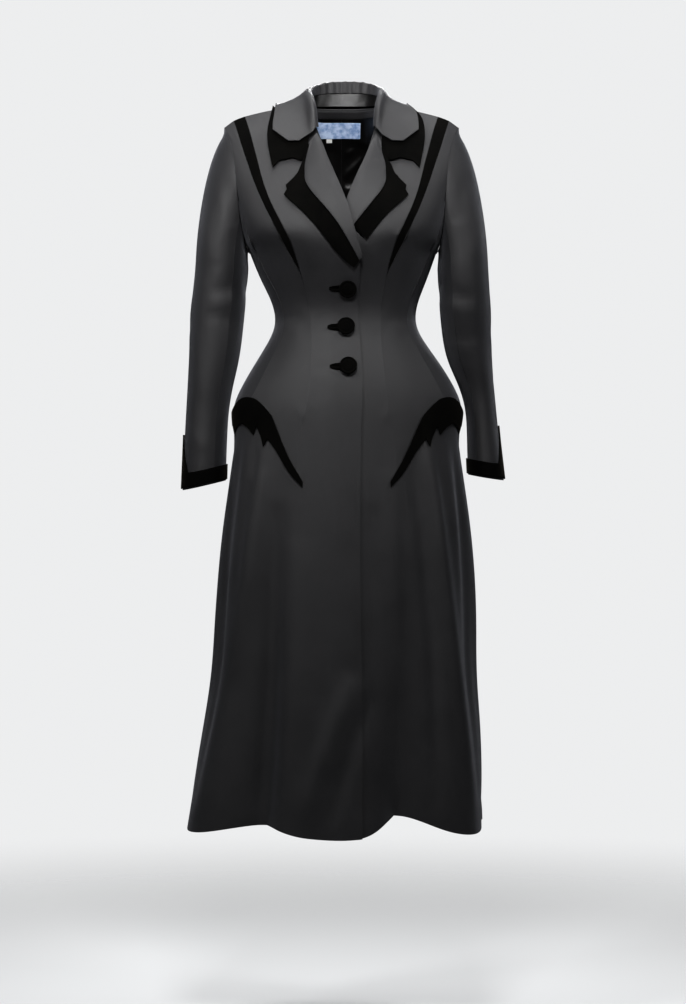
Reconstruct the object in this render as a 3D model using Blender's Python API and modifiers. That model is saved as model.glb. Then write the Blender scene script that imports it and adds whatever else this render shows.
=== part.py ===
"""A long, fitted, A-line overcoat, filled out as if worn, with nobody in it.

Every panel is a thin wall laid on one body surface. The body is a stack of rings,
one for each row of BODY, and above the armholes a yoke that closes over the shoulders.
A place on it is (across, height): across is 0 at centre front, 1 at the side and 2 at
centre back, positive on the wearer's left. Tables are in millimetres, x to the wearer's
left, y to the back and z up from the shoulder line; the meshes are in metres.
"""
import bisect
import math

import bmesh
import bpy
from mathutils import Vector

MM = 0.001
CLOTH = 1.8
VELVET = 1.4
SATIN = 1.0
SEAM_GAP = 0.34
LAYER_GAP = 0.35
ROUND = 2.25

# ---------------------------------------------------------------- body sizes
ARMPIT = -255.0
SHOULDER = 0.0
HEM = -1270.0
NECK_POINT = 0.38

# height, half width, depth in front, depth behind, sideways shift
BODY = (
    (-1300, 266, 166, 186, -15),
    (-1200, 258, 161, 180, -10),
    (-1100, 245, 156, 173, -5),
    (-1000, 231, 151, 166, -2),
    (-900, 225, 146, 160, 0),
    (-750, 215, 138, 152, 1),
    (-660, 205, 132, 147, 1),
    (-590, 199, 127, 142, 1),
    (-525, 203, 122, 137, 3),
    (-480, 182, 115, 126, 3),
    (-440, 157, 106, 108, 2),
    (-400, 131, 96, 94, 0),
    (-376, 123, 92, 88, -1),
    (-340, 131, 98, 92, -2),
    (-300, 149, 110, 99, -4),
    (-255, 166, 121, 104, -5),
)
HALF, FRONT, BACK, SHIFT = 1, 2, 3, 4

# height as a share of the yoke, y, z
FRONT_LINE = (
    (0.0, -121, -255),
    (0.35, -113, -182),
    (0.7, -88, -104),
    (1.0, -54, -42),
)
BACK_LINE = (
    (0.0, 104, -255),
    (0.35, 109, -168),
    (0.7, 93, -68),
    (1.0, 60, 10),
)

# share of the way across, x, y, z
FRONT_NECK = (
    (0.0, 0, -54, -42),
    (0.2, 38, -40, -26),
    (0.38, 72, 6, 6),
)
BACK_NECK = (
    (0.0, 0, 60, 10),
    (0.2, 44, 50, 9),
    (0.38, 72, 6, 6),
)
SHOULDER_SEAM = (
    (0.38, 72, 6, 6),
    (0.55, 108, 6, 3),
    (0.75, 152, 6, -6),
    (0.9, 188, 5, -17),
    (1.0, 208, 4, -31),
)

# height as a share of the yoke, x, y in front, y behind, z
ARMHOLE = (
    (0.0, 166, 0, 0, -255),
    (0.12, 172, -34, 38, -241),
    (0.3, 178, -56, 62, -206),
    (0.5, 183, -64, 72, -156),
    (0.7, 187, -57, 65, -107),
    (0.87, 195, -34, 42, -62),
    (1.0, 208, 4, 4, -31),
)

YOKE_SHIFT = -3.0
YOKE_SHIFT_HIGH = 150.0

BUST_X = 82.0
BUST_Z = -228.0
BUST_RISE = 15.0
BUST_WIDE = 52.0
BUST_HIGH = 62.0

# soft folds of the skirt: angle at the top and at the hem, half width in degrees,
# height where the fold starts, how far it stands out at the hem
FOLDS = (
    (-60, -72, 12, -700, 16),
    (-44, -47, 9, -640, -26),
    (-20, -22, 12, -620, 11),
    (6, 8, 17, -760, 7),
    (34, 37, 9, -620, -34),
    (57, 63, 10, -600, 20),
    (-100, -103, 11, -760, -14),
    (-125, -127, 13, -700, 14),
    (-148, -150, 10, -760, -18),
    (172, 174, 11, -700, -16),
    (92, 88, 9, -820, -12),
    (118, 116, 12, -700, 15),
    (143, 142, 10, -680, -20),
    (196, 196, 9, -640, 13),
)

# angle from centre front, how far the hem is lifted there
HEM_LIFT = (
    (-180, 2),
    (-150, 8),
    (-125, -2),
    (-103, 7),
    (-90, 3),
    (-70, -3),
    (-46, 15),
    (-20, -3),
    (9, -7),
    (20, 2),
    (36, 30),
    (43, 28),
    (56, 2),
    (64, -4),
    (80, 2),
    (90, 8),
    (116, -2),
    (142, 9),
    (180, 2),
)

# pleats that start under the hip velvet, the same on both sides: angle at the top
# and at the hem, how far they stand out, and the height where they have died away
PLEATS = (
    (55, 66, 8, -980),
    (66, 79, 7, -1020),
    (78, 92, 6, -1060),
    (104, 106, 6, -1000),
    (116, 113, 7, -980),
    (127, 121, 6, -900),
)
PLEAT_TOP = -560.0
PLEAT_FULL = 75.0
PLEAT_HALF = 5.2

# share of the way across, upper edge, lower edge of the hip velvet
HIP_VELVET = (
    (0.345, -663, -673),
    (0.390, -645, -662),
    (0.430, -631, -652),
    (0.483, -606, -633),
    (0.530, -578, -611),
    (0.580, -549, -594),
    (0.597, -543, -588),
    (0.612, -539, -602),
    (0.647, -529, -581),
    (0.681, -522, -565),
    (0.700, -518, -581),
    (0.742, -515, -567),
    (0.800, -514, -559),
    (0.850, -520, -563),
    (0.895, -530, -578),
    (0.930, -537, -562),
    (1.000, -541, -560),
)
# share of the way across, height of the seam that the hip velvet covers
HIP_SEAM = (
    (0.25, -672),
    (0.36, -660),
    (0.40, -650),
    (0.48, -620),
    (0.533, -597),
    (0.60, -566),
    (0.66, -551),
    (0.72, -538),
    (0.80, -534),
    (0.90, -541),
    (1.00, -547),
)

# Seams: height, then x on the wearer's own side of the centre.
# The front edge goes past the centre below the lapels, and follows their roll above.
FRONT_EDGE = (
    (-1300, -27),
    (-800, -24),
    (-400, -22),
    (-290, -24),
    (-262, -27),
    (-224, -17),
    (-175, 1),
    (-132, 17),
    (-102, 30),
    (-64, 44),
    (-20, 56),
    (0, 66),
)
STRIP_INNER = (
    (-1300, 95),
    (-672, 87),
    (-600, 84),
    (-548, 75),
    (-505, 67),
    (-460, 63),
    (-415, 60),
    (-376, 61),
    (-340, 64),
    (-310, 71),
    (-279, 80),
    (-242, 92),
    (-212, 107),
    (-182, 122),
    (-146, 135),
    (-107, 145),
    (-55, 159),
    (-14, 171),
)
STRIP_OUTER = (
    (-290, 79),
    (-275, 88),
    (-256, 100),
    (-231, 113),
    (-199, 128),
    (-173, 140),
    (-125, 158),
    (-64, 178),
    (-21, 191),
)
SIDE_FRONT = (
    (-600, 178),
    (-540, 176),
    (-504, 163),
    (-463, 142),
    (-424, 121),
    (-395, 109),
    (-370, 107),
    (-330, 119),
    (-277, 145),
    (-252, 156),
    (-203, 174),
    (-180, 183),
)
# height, share of the way from centre back to the side
SIDE_BACK = (
    (-1300, 0.62),
    (-600, 0.62),
    (-525, 0.66),
    (-440, 0.60),
    (-376, 0.56),
    (-300, 0.66),
    (-255, 0.76),
    (-200, 0.93),
    (-175, 1.0),
)

ROWS_SKIRT = 15
ROWS_WAIST = 11
ROWS_YOKE = 9
ROW_ARMPIT = ROWS_SKIRT + ROWS_WAIST
ROW_TOP = ROW_ARMPIT + ROWS_YOKE

# ---------------------------------------------------------------- cloth looks and panel sizes
CLOTH_LOOK = ((0.035, 0.035, 0.038), 0.62)
VELVET_LOOK = ((0.006, 0.006, 0.006), 0.85)
SATIN_LOOK = ((0.012, 0.012, 0.014), 0.3)
LABEL_LOOK = ((0.16, 0.25, 0.46), 0.6)
TAB_LOOK = ((0.75, 0.74, 0.72), 0.6)
SIDES = (("right", -1), ("left", 1))
FRONT_COLUMNS = 5
SKIRT_COLUMNS = 13
BACK_COLUMNS = 8
BACK_SKIRT_COLUMNS = 8
SIDE_COLUMNS = 3
STRIP_COLUMNS = 2
EDGE = 0.9995
SLIVER = 0.025
SHOULDER_PULL = 2.5
HIDDEN_PULL = 28.0
CORNER_PULL = 5.0
LAP = 3.4
LAP_END = 55.0
LAP_SLOPE = 35.0
LAP_TOP = -128.0
LAP_RISE = 32.0
LAPEL_LAP = 6.6
LAPEL_LAP_FOOT = -340.0
LAPEL_LAP_RISE = 45.0
STRIP_ROW = ROW_ARMPIT - 1

# ---------------------------------------------------------------- hip velvet sizes
HIP_ROWS = 3
HIP_LIFT = 1.95
HIP_STOPS = [row[0] for row in HIP_VELVET]

# ---------------------------------------------------------------- sleeve sizes
# height, outer and inner edge of the right sleeve, of the left sleeve, seen from in
# front, how far back the middle of each lies, and half the depth from front to back
SLEEVE = (
    (-690, 291, 213, 287, 220, -14, 34, 58),
    (-610, 288, 211, 277, 217, -12, 38, 59),
    (-525, 284, 207, 269, 214, -6, 42, 61),
    (-480, 282, 198, 265, 198, -4, 36, 64),
    (-440, 280, 188, 260, 178, -2, 28, 66),
    (-340, 275, 177, 258, 165, 3, 14, 71),
    (-285, 269, 173, 254, 162, 5, 8, 74),
)
SLEEVE_TOP = -285.0
CAP_ROWS = 7
TUBE_ROWS = 9
SLEEVE_START = 1.0
CUFF_OUT = {-1: -675.0, 1: -657.0}
CUFF_RISE = {-1: 18.0, 1: 11.0}
FRONT_SEAM = 120.0
HIND_SEAM = 240.0
UPPER_COLUMNS = 12
UNDER_COLUMNS = 6
# turn round the sleeve, upper edge of the cuff above the sleeve's end
CUFF_EDGE = (
    (-30, 28),
    (-26, 96),
    (6, 96),
    (30, 62),
    (48, 26),
    (75, 24),
    (120, 25),
    (180, 27),
    (250, 29),
    (326, 28),
)
CUFF_TURNS = (-26, -14, -4, 6, 18, 30, 40, 48, 60, 75, 95, 118, 142, 165, 185,
              205, 225, 248, 270, 292, 312, 326)
CUFF_ROWS = 2
CUFF_LIFT = 1.3

# ---------------------------------------------------------------- collar sizes
# share of the way round from centre back, x, y, z of the fold at the collar's top
COLLAR_FOLD = (
    (0.0, 0, 68, 62),
    (0.15, 26, 65, 61),
    (0.3, 48, 53, 55),
    (0.42, 60, 36, 47),
    (0.5, 63, 22, 41),
    (0.65, 60, -4, 27),
    (0.8, 55, -28, 6),
    (0.9, 53.5, -42, -15),
    (1.0, 51.5, -49, -41),
)
# the same, share across and height of the neck seam, then of the collar's outer edge
COLLAR_BACK = (
    (0.0, 0.0, -44),
    (0.2, 0.24, -50),
    (0.35, 0.46, -47),
    (0.45, 0.60, -25),
    (0.5, 0.61, 0),
)
# the same, x and z of the outer edge over the chest
COLLAR_FRONT = (
    (0.62, 133, -16),
    (0.75, 139, -42),
    (0.88, 137, -74),
    (1.0, 128, -114),
)
# share of the way out, x and z of the collar's end from the fold to its point
COLLAR_END = (
    (0.0, 53, -34),
    (0.15, 58, -71),
    (0.3, 66, -79),
    (0.4, 74, -93),
    (0.48, 83, -107),
    (0.54, 88, -113),
    (0.6, 91, -107),
    (0.69, 98, -100),
    (0.8, 110, -98),
    (0.88, 118, -102),
    (1.0, 128, -114),
)
# share of the way out, and where the top layer of the collar ends there
TOP_LAYER_END = (
    (-1.0, 0.985),
    (0.0, 0.985),
    (0.18, 0.985),
    (0.32, 0.97),
    (0.5, 0.925),
    (0.69, 0.915),
    (0.88, 0.80),
)
NECK_FRONT = 0.22
COLLAR_LIFT = 3.4
SEAM_BUMP = 5.0
SEAM_BUMP_WIDE = 0.2
FOLD_WIDE = 6.5
SEAM_SMOOTH = 0.12
COLLAR_STEPS = 12
STAND_SHARE = -0.45
TOP_LAYER_OUT = 0.88
TOP_LAYER_WAYS = (STAND_SHARE, -0.25, -0.1, -0.03, 0.03, 0.09, 0.18, 0.32, 0.5, 0.69, TOP_LAYER_OUT)
UNDER_LAYER_WAYS = (0.32, 0.5, 0.6, 0.69, TOP_LAYER_OUT, 1.0)

# ---------------------------------------------------------------- lapel sizes
# share of the way down the roll, x and z on the roll, on the velvet's outer edge,
# and the share of the way out where the top layer ends
LAPEL = (
    (0.0, 49, -52, 81, -113, 0.29),
    (0.1, 46, -60, 84, -123, 0.45),
    (0.2, 42, -66, 91, -133, 0.53),
    (0.3, 36, -84, 105, -147, 0.50),
    (0.38, 31, -99, 103, -155, 0.54),
    (0.45, 26, -110, 108, -164, 0.55),
    (0.52, 19, -127, 95, -178, 0.57),
    (0.6, 11, -146, 82, -189, 0.57),
    (0.7, 2, -170, 60, -212, 0.56),
    (0.8, -9, -196, 39, -239, 0.50),
    (0.9, -19, -228, 12, -270, 0.42),
    (1.0, -29, -268, -14, -288, 0.36),
)
LAPEL_DOWN = (0.0, 0.1, 0.2, 0.3, 0.38, 0.45, 0.52, 0.6, 0.7, 0.8, 0.9, 1.0)
LAPEL_DOWN_UNDER = (0.0, 0.1, 0.2, 0.3, 0.38, 0.45, 0.52, 0.6, 0.7, 0.81)
LAPEL_ACROSS = (0.0, 0.08, 0.18, 0.32)
LAPEL_FLOAT = 2.0
LAPEL_FOOT_FLOAT = 1.6
LAPEL_FOOT_START = 0.6
LAPEL_FOOT_RUN = 0.3
ROLL_HIGH = 5.0
ROLL_WIDE = 20.0

# ---------------------------------------------------------------- sizes inside the neck
LINING_GAP = 3.4
LABEL_GAP = 1.4
FACING_DEPTH = 15.0
LINING_DEPTH = 215.0
LINING_REACH = 0.34
LABEL_TOP, LABEL_FOOT = -21.0, -48.0
LABEL_RIGHT, LABEL_LEFT = -0.27, 0.17
TAB_FOOT = -55.0

# ---------------------------------------------------------------- button sizes
# x, z of each button, and how far its buttonhole's binding lies off the front
BUTTONS = (
    (3.0, -324.5, 0.7),
    (0.0, -394.0, 2.1),
    (4.0, -463.0, 0.5),
)
BUTTON_RADIUS = 15.5
BUTTON_STEPS = 18
BUTTON_GAP = 0.75
# radius and height of the button's profile as shares of its radius
BUTTON_PROFILE = (
    (0.00, 0.46),
    (0.45, 0.42),
    (0.77, 0.31),
    (0.90, 0.35),
    (1.00, 0.28),
    (0.97, 0.16),
    (0.80, 0.11),
    (0.22, 0.11),
    (0.22, 0.00),
    (0.00, 0.00),
)
HOLE_LONG = 37.0
HOLE_HIGH = 8.5
HOLE_END = 5.0


# ---------------------------------------------------------------- curves
def along(rows, at, column):
    """A column of a table at a value of its first column, on one smooth curve."""
    keys = [row[0] for row in rows]
    last = len(rows) - 1
    i = min(max(bisect.bisect_right(keys, at) - 1, 0), last - 1)
    span = keys[i + 1] - keys[i]
    t = min(max((at - keys[i]) / span, 0.0), 1.0)

    def slope(k):
        low, high = max(k - 1, 0), min(k + 1, last)
        return (rows[high][column] - rows[low][column]) / (keys[high] - keys[low])

    start, end = rows[i][column], rows[i + 1][column]
    rise = t * t * (3 - 2 * t)
    return (start + (end - start) * rise
            + slope(i) * span * t * (1 - t) ** 2
            - slope(i + 1) * span * t * t * (1 - t))


def straight(rows, at, column):
    """A column of a table at a value of its first column, on straight lines."""
    keys = [row[0] for row in rows]
    i = min(max(bisect.bisect_right(keys, at) - 1, 0), len(rows) - 2)
    t = min(max((at - keys[i]) / (keys[i + 1] - keys[i]), 0.0), 1.0)
    return rows[i][column] * (1 - t) + rows[i + 1][column] * t


def ease(t):
    """0 to 1, level at both ends."""
    t = min(max(t, 0.0), 1.0)
    return t * t * (3 - 2 * t)


def mix(start, end, t):
    """Part of the way from one value to another."""
    return start + (end - start) * t


# ---------------------------------------------------------------- body surface
def turned(angle, centre):
    """Degrees from one direction to another, between -180 and 180."""
    return (angle - centre + 180.0) % 360.0 - 180.0


def skirt_folds(angle, z):
    """How far the skirt's folds and pleats stand out from the plain ring."""
    out = 0.0
    down = (PLEAT_TOP - z) / (PLEAT_TOP - HEM)
    for top, hem, half, start, height in FOLDS:
        grown = min(max((start - z) / (start - HEM), 0.0), 1.05) ** 1.3
        off = turned(angle, mix(top, hem, down)) / half
        out += height * grown * math.exp(-off * off)
    if z > PLEAT_TOP:
        return out
    for top, hem, height, end in PLEATS:
        fade = ease((PLEAT_TOP - z) / PLEAT_FULL) * ease((z - end) / (PLEAT_TOP - end) * 1.6)
        centre = mix(top, hem, down)
        for side in (-1, 1):
            off = turned(angle, side * centre) * side / PLEAT_HALF
            lean = math.exp(-off * off) if off < 0 else math.exp(-off * off * 3.0)
            out += height * fade * lean
    return out


def ring(angle, z):
    """The body below the armholes, at an angle in degrees from centre front."""
    turn = math.radians(angle)
    side = abs(math.sin(turn)) / along(BODY, z, HALF)
    column = FRONT if math.cos(turn) > 0 else BACK
    depth = abs(math.cos(turn)) / along(BODY, z, column)
    radius = (side ** ROUND + depth ** ROUND) ** (-1 / ROUND) + skirt_folds(angle, z)
    return Vector((radius * math.sin(turn), -radius * math.cos(turn), z))


def yoke(across, share):
    """The body above the armholes: a patch between its four edges."""
    front = across <= 1.0
    s = across if front else 2.0 - across
    line, neck = (FRONT_LINE, FRONT_NECK) if front else (BACK_LINE, BACK_NECK)
    top = neck if s < NECK_POINT else SHOULDER_SEAM
    column = 2 if front else 3
    base = ring(across * 90.0, ARMPIT)
    edge = Vector([along(top, s, k) for k in (1, 2, 3)])
    middle = Vector((0.0, along(line, share, 1), along(line, share, 2)))
    arm = Vector([along(ARMHOLE, share, k) for k in (1, column, 4)])
    low_middle, high_middle = Vector((0.0, *line[0][1:])), Vector((0.0, *line[-1][1:]))
    low_arm, high_arm = ring(90.0, ARMPIT), Vector(SHOULDER_SEAM[-1][1:])
    u, v = ease(s), ease(share)
    corners = (low_middle.lerp(low_arm, u)).lerp(high_middle.lerp(high_arm, u), v)
    return base.lerp(edge, v) + middle.lerp(arm, u) - corners


def body(across, height):
    """A point of the body surface, in millimetres."""
    across = (across + 2.0) % 4.0 - 2.0
    side = -1.0 if across < 0 else 1.0
    if height <= ARMPIT:
        point = ring(across * 90.0, height)
        shift = along(BODY, height, SHIFT)
    else:
        point = yoke(abs(across), (height - ARMPIT) / (SHOULDER - ARMPIT))
        point.x *= side
        shift = BODY[-1][SHIFT] + YOKE_SHIFT * ease((height - ARMPIT) / YOKE_SHIFT_HIGH)
    if abs(across) < 1.0:
        off_x = (abs(point.x) - BUST_X) / BUST_WIDE
        off_z = (point.z - BUST_Z) / BUST_HIGH
        point.y -= BUST_RISE * math.exp(-off_x * off_x - off_z * off_z)
    point.x += shift
    return point


def outward(across, height):
    """The direction straight out of the body surface."""
    step, rise = 0.004, 1.5
    low, high = across - step, across + step
    if height > ARMPIT and (abs(low) <= 1.0) != (abs(high) <= 1.0):
        inside = abs(across) <= 1.0
        low = across if (abs(low) <= 1.0) != inside else low
        high = across if (abs(high) <= 1.0) != inside else high
    top = min(height + rise, SHOULDER)
    wide = body(high, height) - body(low, height)
    tall = body(across, top) - body(across, height - rise)
    return wide.cross(tall).normalized()


def find_front(x, z):
    """The place on the front that is seen at x, z from straight ahead."""
    across = x / along(BODY, min(z, ARMPIT), HALF) * 0.8
    height = min(z, -2.0)
    for _ in range(14):
        here = body(across, height)
        step = -0.002 if across > 0 else 0.002
        side = body(across + step, height)
        over = body(across, height - 1.0)
        a, b = (side.x - here.x) / step, here.x - over.x
        c, d = (side.z - here.z) / step, here.z - over.z
        miss_x, miss_z = x - here.x, z - here.z
        scale = a * d - b * c
        across += min(max((miss_x * d - miss_z * b) / scale, -0.1), 0.1)
        height += min(max((miss_z * a - miss_x * c) / scale, -25.0), 25.0)
        across = min(max(across, -0.999), 0.999)
        height = min(height, SHOULDER)
    return across, height


def centre_at(z):
    """Sideways shift of the body's centre at a height."""
    if z <= ARMPIT:
        return along(BODY, z, SHIFT)
    return BODY[-1][SHIFT] + YOKE_SHIFT * ease((z - ARMPIT) / YOKE_SHIFT_HIGH)


def seam_places(rows, side, shifted=True):
    """A seam given by height and x, as a table of body height and place across."""
    places = []
    for z, x in rows:
        centre = centre_at(z) if shifted else 0.0
        across, height = find_front(side * x + centre, z)
        places.append((height, across * side))
    places.sort()
    return tuple(places)


# ---------------------------------------------------------------- walls
def share_of(across):
    """Share of the way from centre front, or centre back, to the side."""
    share = abs((across + 2.0) % 4.0 - 2.0)
    return min(share, 2.0 - share)


def level(row, across):
    """Height of a row that all panels share, so that they meet point to point."""
    hip = along(HIP_SEAM, share_of(across), 1)
    if row <= ROWS_SKIRT:
        angle = ((across + 2.0) % 4.0 - 2.0) * 90.0
        hem = HEM + along(HEM_LIFT, angle, 1)
        return mix(hip, hem, (1.0 - row / ROWS_SKIRT) ** 1.3)
    if row <= ROW_ARMPIT:
        return mix(hip, ARMPIT, (row - ROWS_SKIRT) / ROWS_WAIST)
    return mix(ARMPIT, SHOULDER, (row - ROW_ARMPIT) / ROWS_YOKE)


def seam_at(places, row, side):
    """Where a seam crosses a row, as a share across on its own side."""
    across = along(places, HEM, 1)
    for _ in range(12):
        across = along(places, level(row, across * side), 1)
    return across


def finish(piece, colour, roughness):
    """The piece's own plain material."""
    material = bpy.data.materials.new(piece.name)
    material.use_nodes = True
    shader = material.node_tree.nodes["Principled BSDF"]
    shader.inputs["Base Color"].default_value = (*colour, 1.0)
    shader.inputs["Roughness"].default_value = roughness
    material.diffuse_color = (*colour, 1.0)
    piece.data.materials.append(material)


def wall(name, columns, rows, place, thickness, look, keep=None):
    """A closed wall: a grid laid out by place, and the same grid moved inwards.

    place gives a point, the direction out of the surface and how far out the
    wall's outer face lies.
    """
    mesh = bmesh.new()
    bmesh.ops.create_grid(mesh, x_segments=columns, y_segments=rows, size=0.5)
    if keep:
        cut = [face for face in mesh.faces if not keep(*cell(face, columns, rows))]
        bmesh.ops.delete(mesh, geom=cut, context="FACES")
    result = bmesh.ops.extrude_face_region(mesh, geom=mesh.faces[:])
    outer = {item for item in result["geom"] if isinstance(item, bmesh.types.BMVert)}
    for vert in mesh.verts:
        i = round((vert.co.x + 0.5) * columns)
        j = round((vert.co.y + 0.5) * rows)
        point, out, lift = place(i, j)
        depth = lift if vert in outer else lift - thickness
        vert.co = (point + out * depth) * MM
    bmesh.ops.recalc_face_normals(mesh, faces=mesh.faces[:])
    if mesh.calc_volume(signed=True) < 0:
        bmesh.ops.reverse_faces(mesh, faces=mesh.faces[:])
    data = bpy.data.meshes.new(name)
    mesh.to_mesh(data)
    mesh.free()
    data.shade_smooth()
    data.set_sharp_from_angle(angle=math.radians(50))
    piece = bpy.data.objects.new(name, data)
    coat.objects.link(piece)
    finish(piece, *look)
    return piece


def cell(face, columns, rows):
    """Column and row of a grid's face."""
    centre = face.calc_center_median()
    return int((centre.x + 0.5) * columns), int((centre.y + 0.5) * rows)


def spread(stops, i):
    """A value for a column, between stops that are (column, value)."""
    return straight(stops, i, 1)


def on_body(across, height, pull=(0.0, 0.0)):
    """A point of the body and its outward direction, pulled back from a seam."""
    if pull[0]:
        wide = (body(across + 0.002, height) - body(across - 0.002, height)).length / 0.004
        across += pull[0] * SEAM_GAP / 2 / wide
    if pull[1]:
        tall = (body(across, height) - body(across, height - 1.0)).length
        height += pull[1] * SEAM_GAP / 2 / tall
    out = outward(across, height)
    if height > SHOULDER - 2.0 and share_of(across) > NECK_POINT - 0.02:
        across_seam = math.copysign(2.0 - abs(across), across)
        out = (out + outward(across_seam, height)).normalized()
    return body(across, height), out


for old in list(bpy.data.objects):
    bpy.data.objects.remove(old, do_unlink=True)
coat = bpy.data.collections.new("overcoat")
bpy.context.scene.collection.children.link(coat)


def lap_lift(x_own, z):
    """How far the overlapping front stands out over what lies under it."""
    over = ease((LAP_END - x_own) / LAP_SLOPE) * ease((LAP_TOP - z) / LAP_RISE)
    lapel = ease((z - LAPEL_LAP_FOOT) / LAPEL_LAP_RISE)
    return over * (LAP + LAPEL_LAP * lapel)


seams = {}
for name, side in SIDES:
    seams[side] = {
        "edge": seam_places(FRONT_EDGE, side, shifted=False),
        "inner": seam_places(STRIP_INNER, side),
        "outer": seam_places(STRIP_OUTER, side),
        "side": seam_places(SIDE_FRONT, side),
    }


def front_panel(name, side):
    """The front, from its edge to the princess seam, and below the hip to the side."""
    edge, inner = seams[side]["edge"], seams[side]["inner"]
    last = FRONT_COLUMNS + SKIRT_COLUMNS
    marks = []
    for row in range(ROW_TOP + 1):
        marks.append((seam_at(edge, row, side), seam_at(inner, row, side)))

    def place(i, row):
        stops = ((0, marks[row][0]), (FRONT_COLUMNS, marks[row][1]), (last, 1.0))
        own = spread(stops, i)
        across = side * own
        pull_in = (i == FRONT_COLUMNS and row >= ROWS_SKIRT) or i == last
        down = -SHOULDER_PULL if row == ROW_TOP else 0
        down = -HIDDEN_PULL if row == ROWS_SKIRT and i >= FRONT_COLUMNS else down
        pull = (-side if pull_in else 0, down)
        point, out = on_body(across, level(row, across), pull)
        lift = lap_lift(side * point.x, point.z) if side < 0 else 0.0
        return point, out, lift

    def keep(i, row):
        return row < ROWS_SKIRT or i < FRONT_COLUMNS

    wall("front_" + name, last, ROW_TOP, place, CLOTH, CLOTH_LOOK, keep)


def back_panel(name, side):
    """The back, from the centre seam to the side-back seam, and below it to the side."""
    last = BACK_COLUMNS + BACK_SKIRT_COLUMNS
    marks = back_seam()

    def place(i, row):
        share = spread(((0, 0.0), (BACK_COLUMNS, marks[row]), (last, 1.0)), i)
        if row > ROW_ARMPIT:
            share = min(share, EDGE)
        across = side * (2.0 - share)
        inward = side if (i == BACK_COLUMNS and row >= ROWS_SKIRT) or i == last else 0
        inward = -side if i == 0 else inward
        down = -SHOULDER_PULL if row == ROW_TOP else 0
        down = -HIDDEN_PULL if row == ROWS_SKIRT and i >= BACK_COLUMNS else down
        if marks[row] >= EDGE and i == BACK_COLUMNS and row > ROW_ARMPIT:
            inward = 0
        return *on_body(across, level(row, across), (inward, down)), 0.0

    def keep(i, row):
        return row < ROWS_SKIRT or i < BACK_COLUMNS

    wall("back_" + name, last, ROW_TOP, place, CLOTH, CLOTH_LOOK, keep)


def up_to_armhole(shares, row_height):
    """Shares of a seam on every row, where it closes on the armhole and above."""
    closed = []
    for row, share in enumerate(shares):
        if row > ROW_ARMPIT and row_height(row) > 0:
            share = EDGE if closed[-1] >= EDGE - SLIVER else EDGE - SLIVER
        closed.append(min(share, EDGE))
    return closed


def back_seam():
    """Shares across of the side-back seam on all rows, and of the armhole above it."""
    shares = []
    for row in range(ROW_TOP + 1):
        share = 0.7
        for _ in range(12):
            share = along(SIDE_BACK, level(row, share), 1)
        shares.append(share)
    return up_to_armhole(shares, lambda row: level(row, 1.0) - SIDE_BACK[-1][0])


def front_side_seam(side):
    """Shares across of the side-front seam on all rows, and of the armhole above it."""
    places = seams[side]["side"]
    shares = [seam_at(places, row, side) for row in range(ROW_TOP + 1)]
    return up_to_armhole(shares, lambda row: level(row, 1.0) - places[-1][0])


def strip_panel(name, side):
    """The velvet let into the shoulder, narrowing to nothing under the bust."""
    inner, outer = seams[side]["inner"], seams[side]["outer"]
    rows = ROW_TOP - STRIP_ROW

    def place(i, j):
        row = j + STRIP_ROW
        low, high = seam_at(inner, row, side), seam_at(outer, row, side)
        if j == 0:
            high = low + 0.012
        across = side * mix(low, high, i / STRIP_COLUMNS)
        pull = side * ((i == 0) - (i == STRIP_COLUMNS))
        up = (j == 0) - SHOULDER_PULL * (j == rows)
        return *on_body(across, level(row, across), (pull, up)), 0.0

    wall("shoulder_velvet_" + name, STRIP_COLUMNS, rows, place, CLOTH, VELVET_LOOK)


def side_front_panel(name, side):
    """The piece between the princess seam and the side, up to the armhole."""
    lines = seams[side]
    outer_edge = front_side_seam(side)

    def place(i, j):
        row = j + ROWS_SKIRT
        low = seam_at(lines["outer" if row > STRIP_ROW else "inner"], row, side)
        if row == STRIP_ROW:
            low += 0.012
        high = outer_edge[row]
        across = side * mix(low, high, i / SIDE_COLUMNS)
        pull = side * ((i == 0) - (i == SIDE_COLUMNS and high < EDGE))
        pull *= CORNER_PULL if j == 0 else 1.0
        up = HIDDEN_PULL * (j == 0) - SHOULDER_PULL * (row == ROW_TOP)
        return *on_body(across, level(row, across), (pull, up)), 0.0

    wall("side_front_" + name, SIDE_COLUMNS, ROW_TOP - ROWS_SKIRT, place, CLOTH, CLOTH_LOOK)


def side_panel(name, side):
    """The piece under the arm, with the bottom of the armhole in its top edge."""
    front, back = front_side_seam(side), back_seam()
    closed_front = next(row for row in range(ROW_TOP) if front[row] >= EDGE - SLIVER)
    closed_back = next(row for row in range(ROW_TOP) if back[row] >= EDGE - SLIVER)
    top = max(closed_front, closed_back)
    last = 2 * SIDE_COLUMNS + 1

    def place(i, j):
        row = j + ROWS_SKIRT
        inner = SLIVER if row <= ROW_ARMPIT else 1.0 - EDGE
        front_stop, back_stop = (SIDE_COLUMNS, 1.0 - inner), (SIDE_COLUMNS + 1, 1.0 + inner)
        stops = ((0, front[row]), front_stop, back_stop, (last, 2.0 - back[row]))
        across = side * spread(stops, i)
        pull = side * ((i == 0) - (i == last)) * (CORNER_PULL if j == 0 else 1.0)
        return *on_body(across, level(row, across), (pull, HIDDEN_PULL if j == 0 else 0)), 0.0

    def keep(i, j):
        row = j + ROWS_SKIRT
        if row < ROW_ARMPIT:
            return True
        return row < (closed_front if i < SIDE_COLUMNS else closed_back) and i != SIDE_COLUMNS

    wall("side_" + name, last, top - ROWS_SKIRT, place, CLOTH, CLOTH_LOOK, keep)


for name, side in SIDES:
    front_panel(name, side)
    strip_panel(name, side)
    side_front_panel(name, side)
    side_panel(name, side)
    back_panel(name, side)


# ---------------------------------------------------------------- hip velvet


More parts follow.
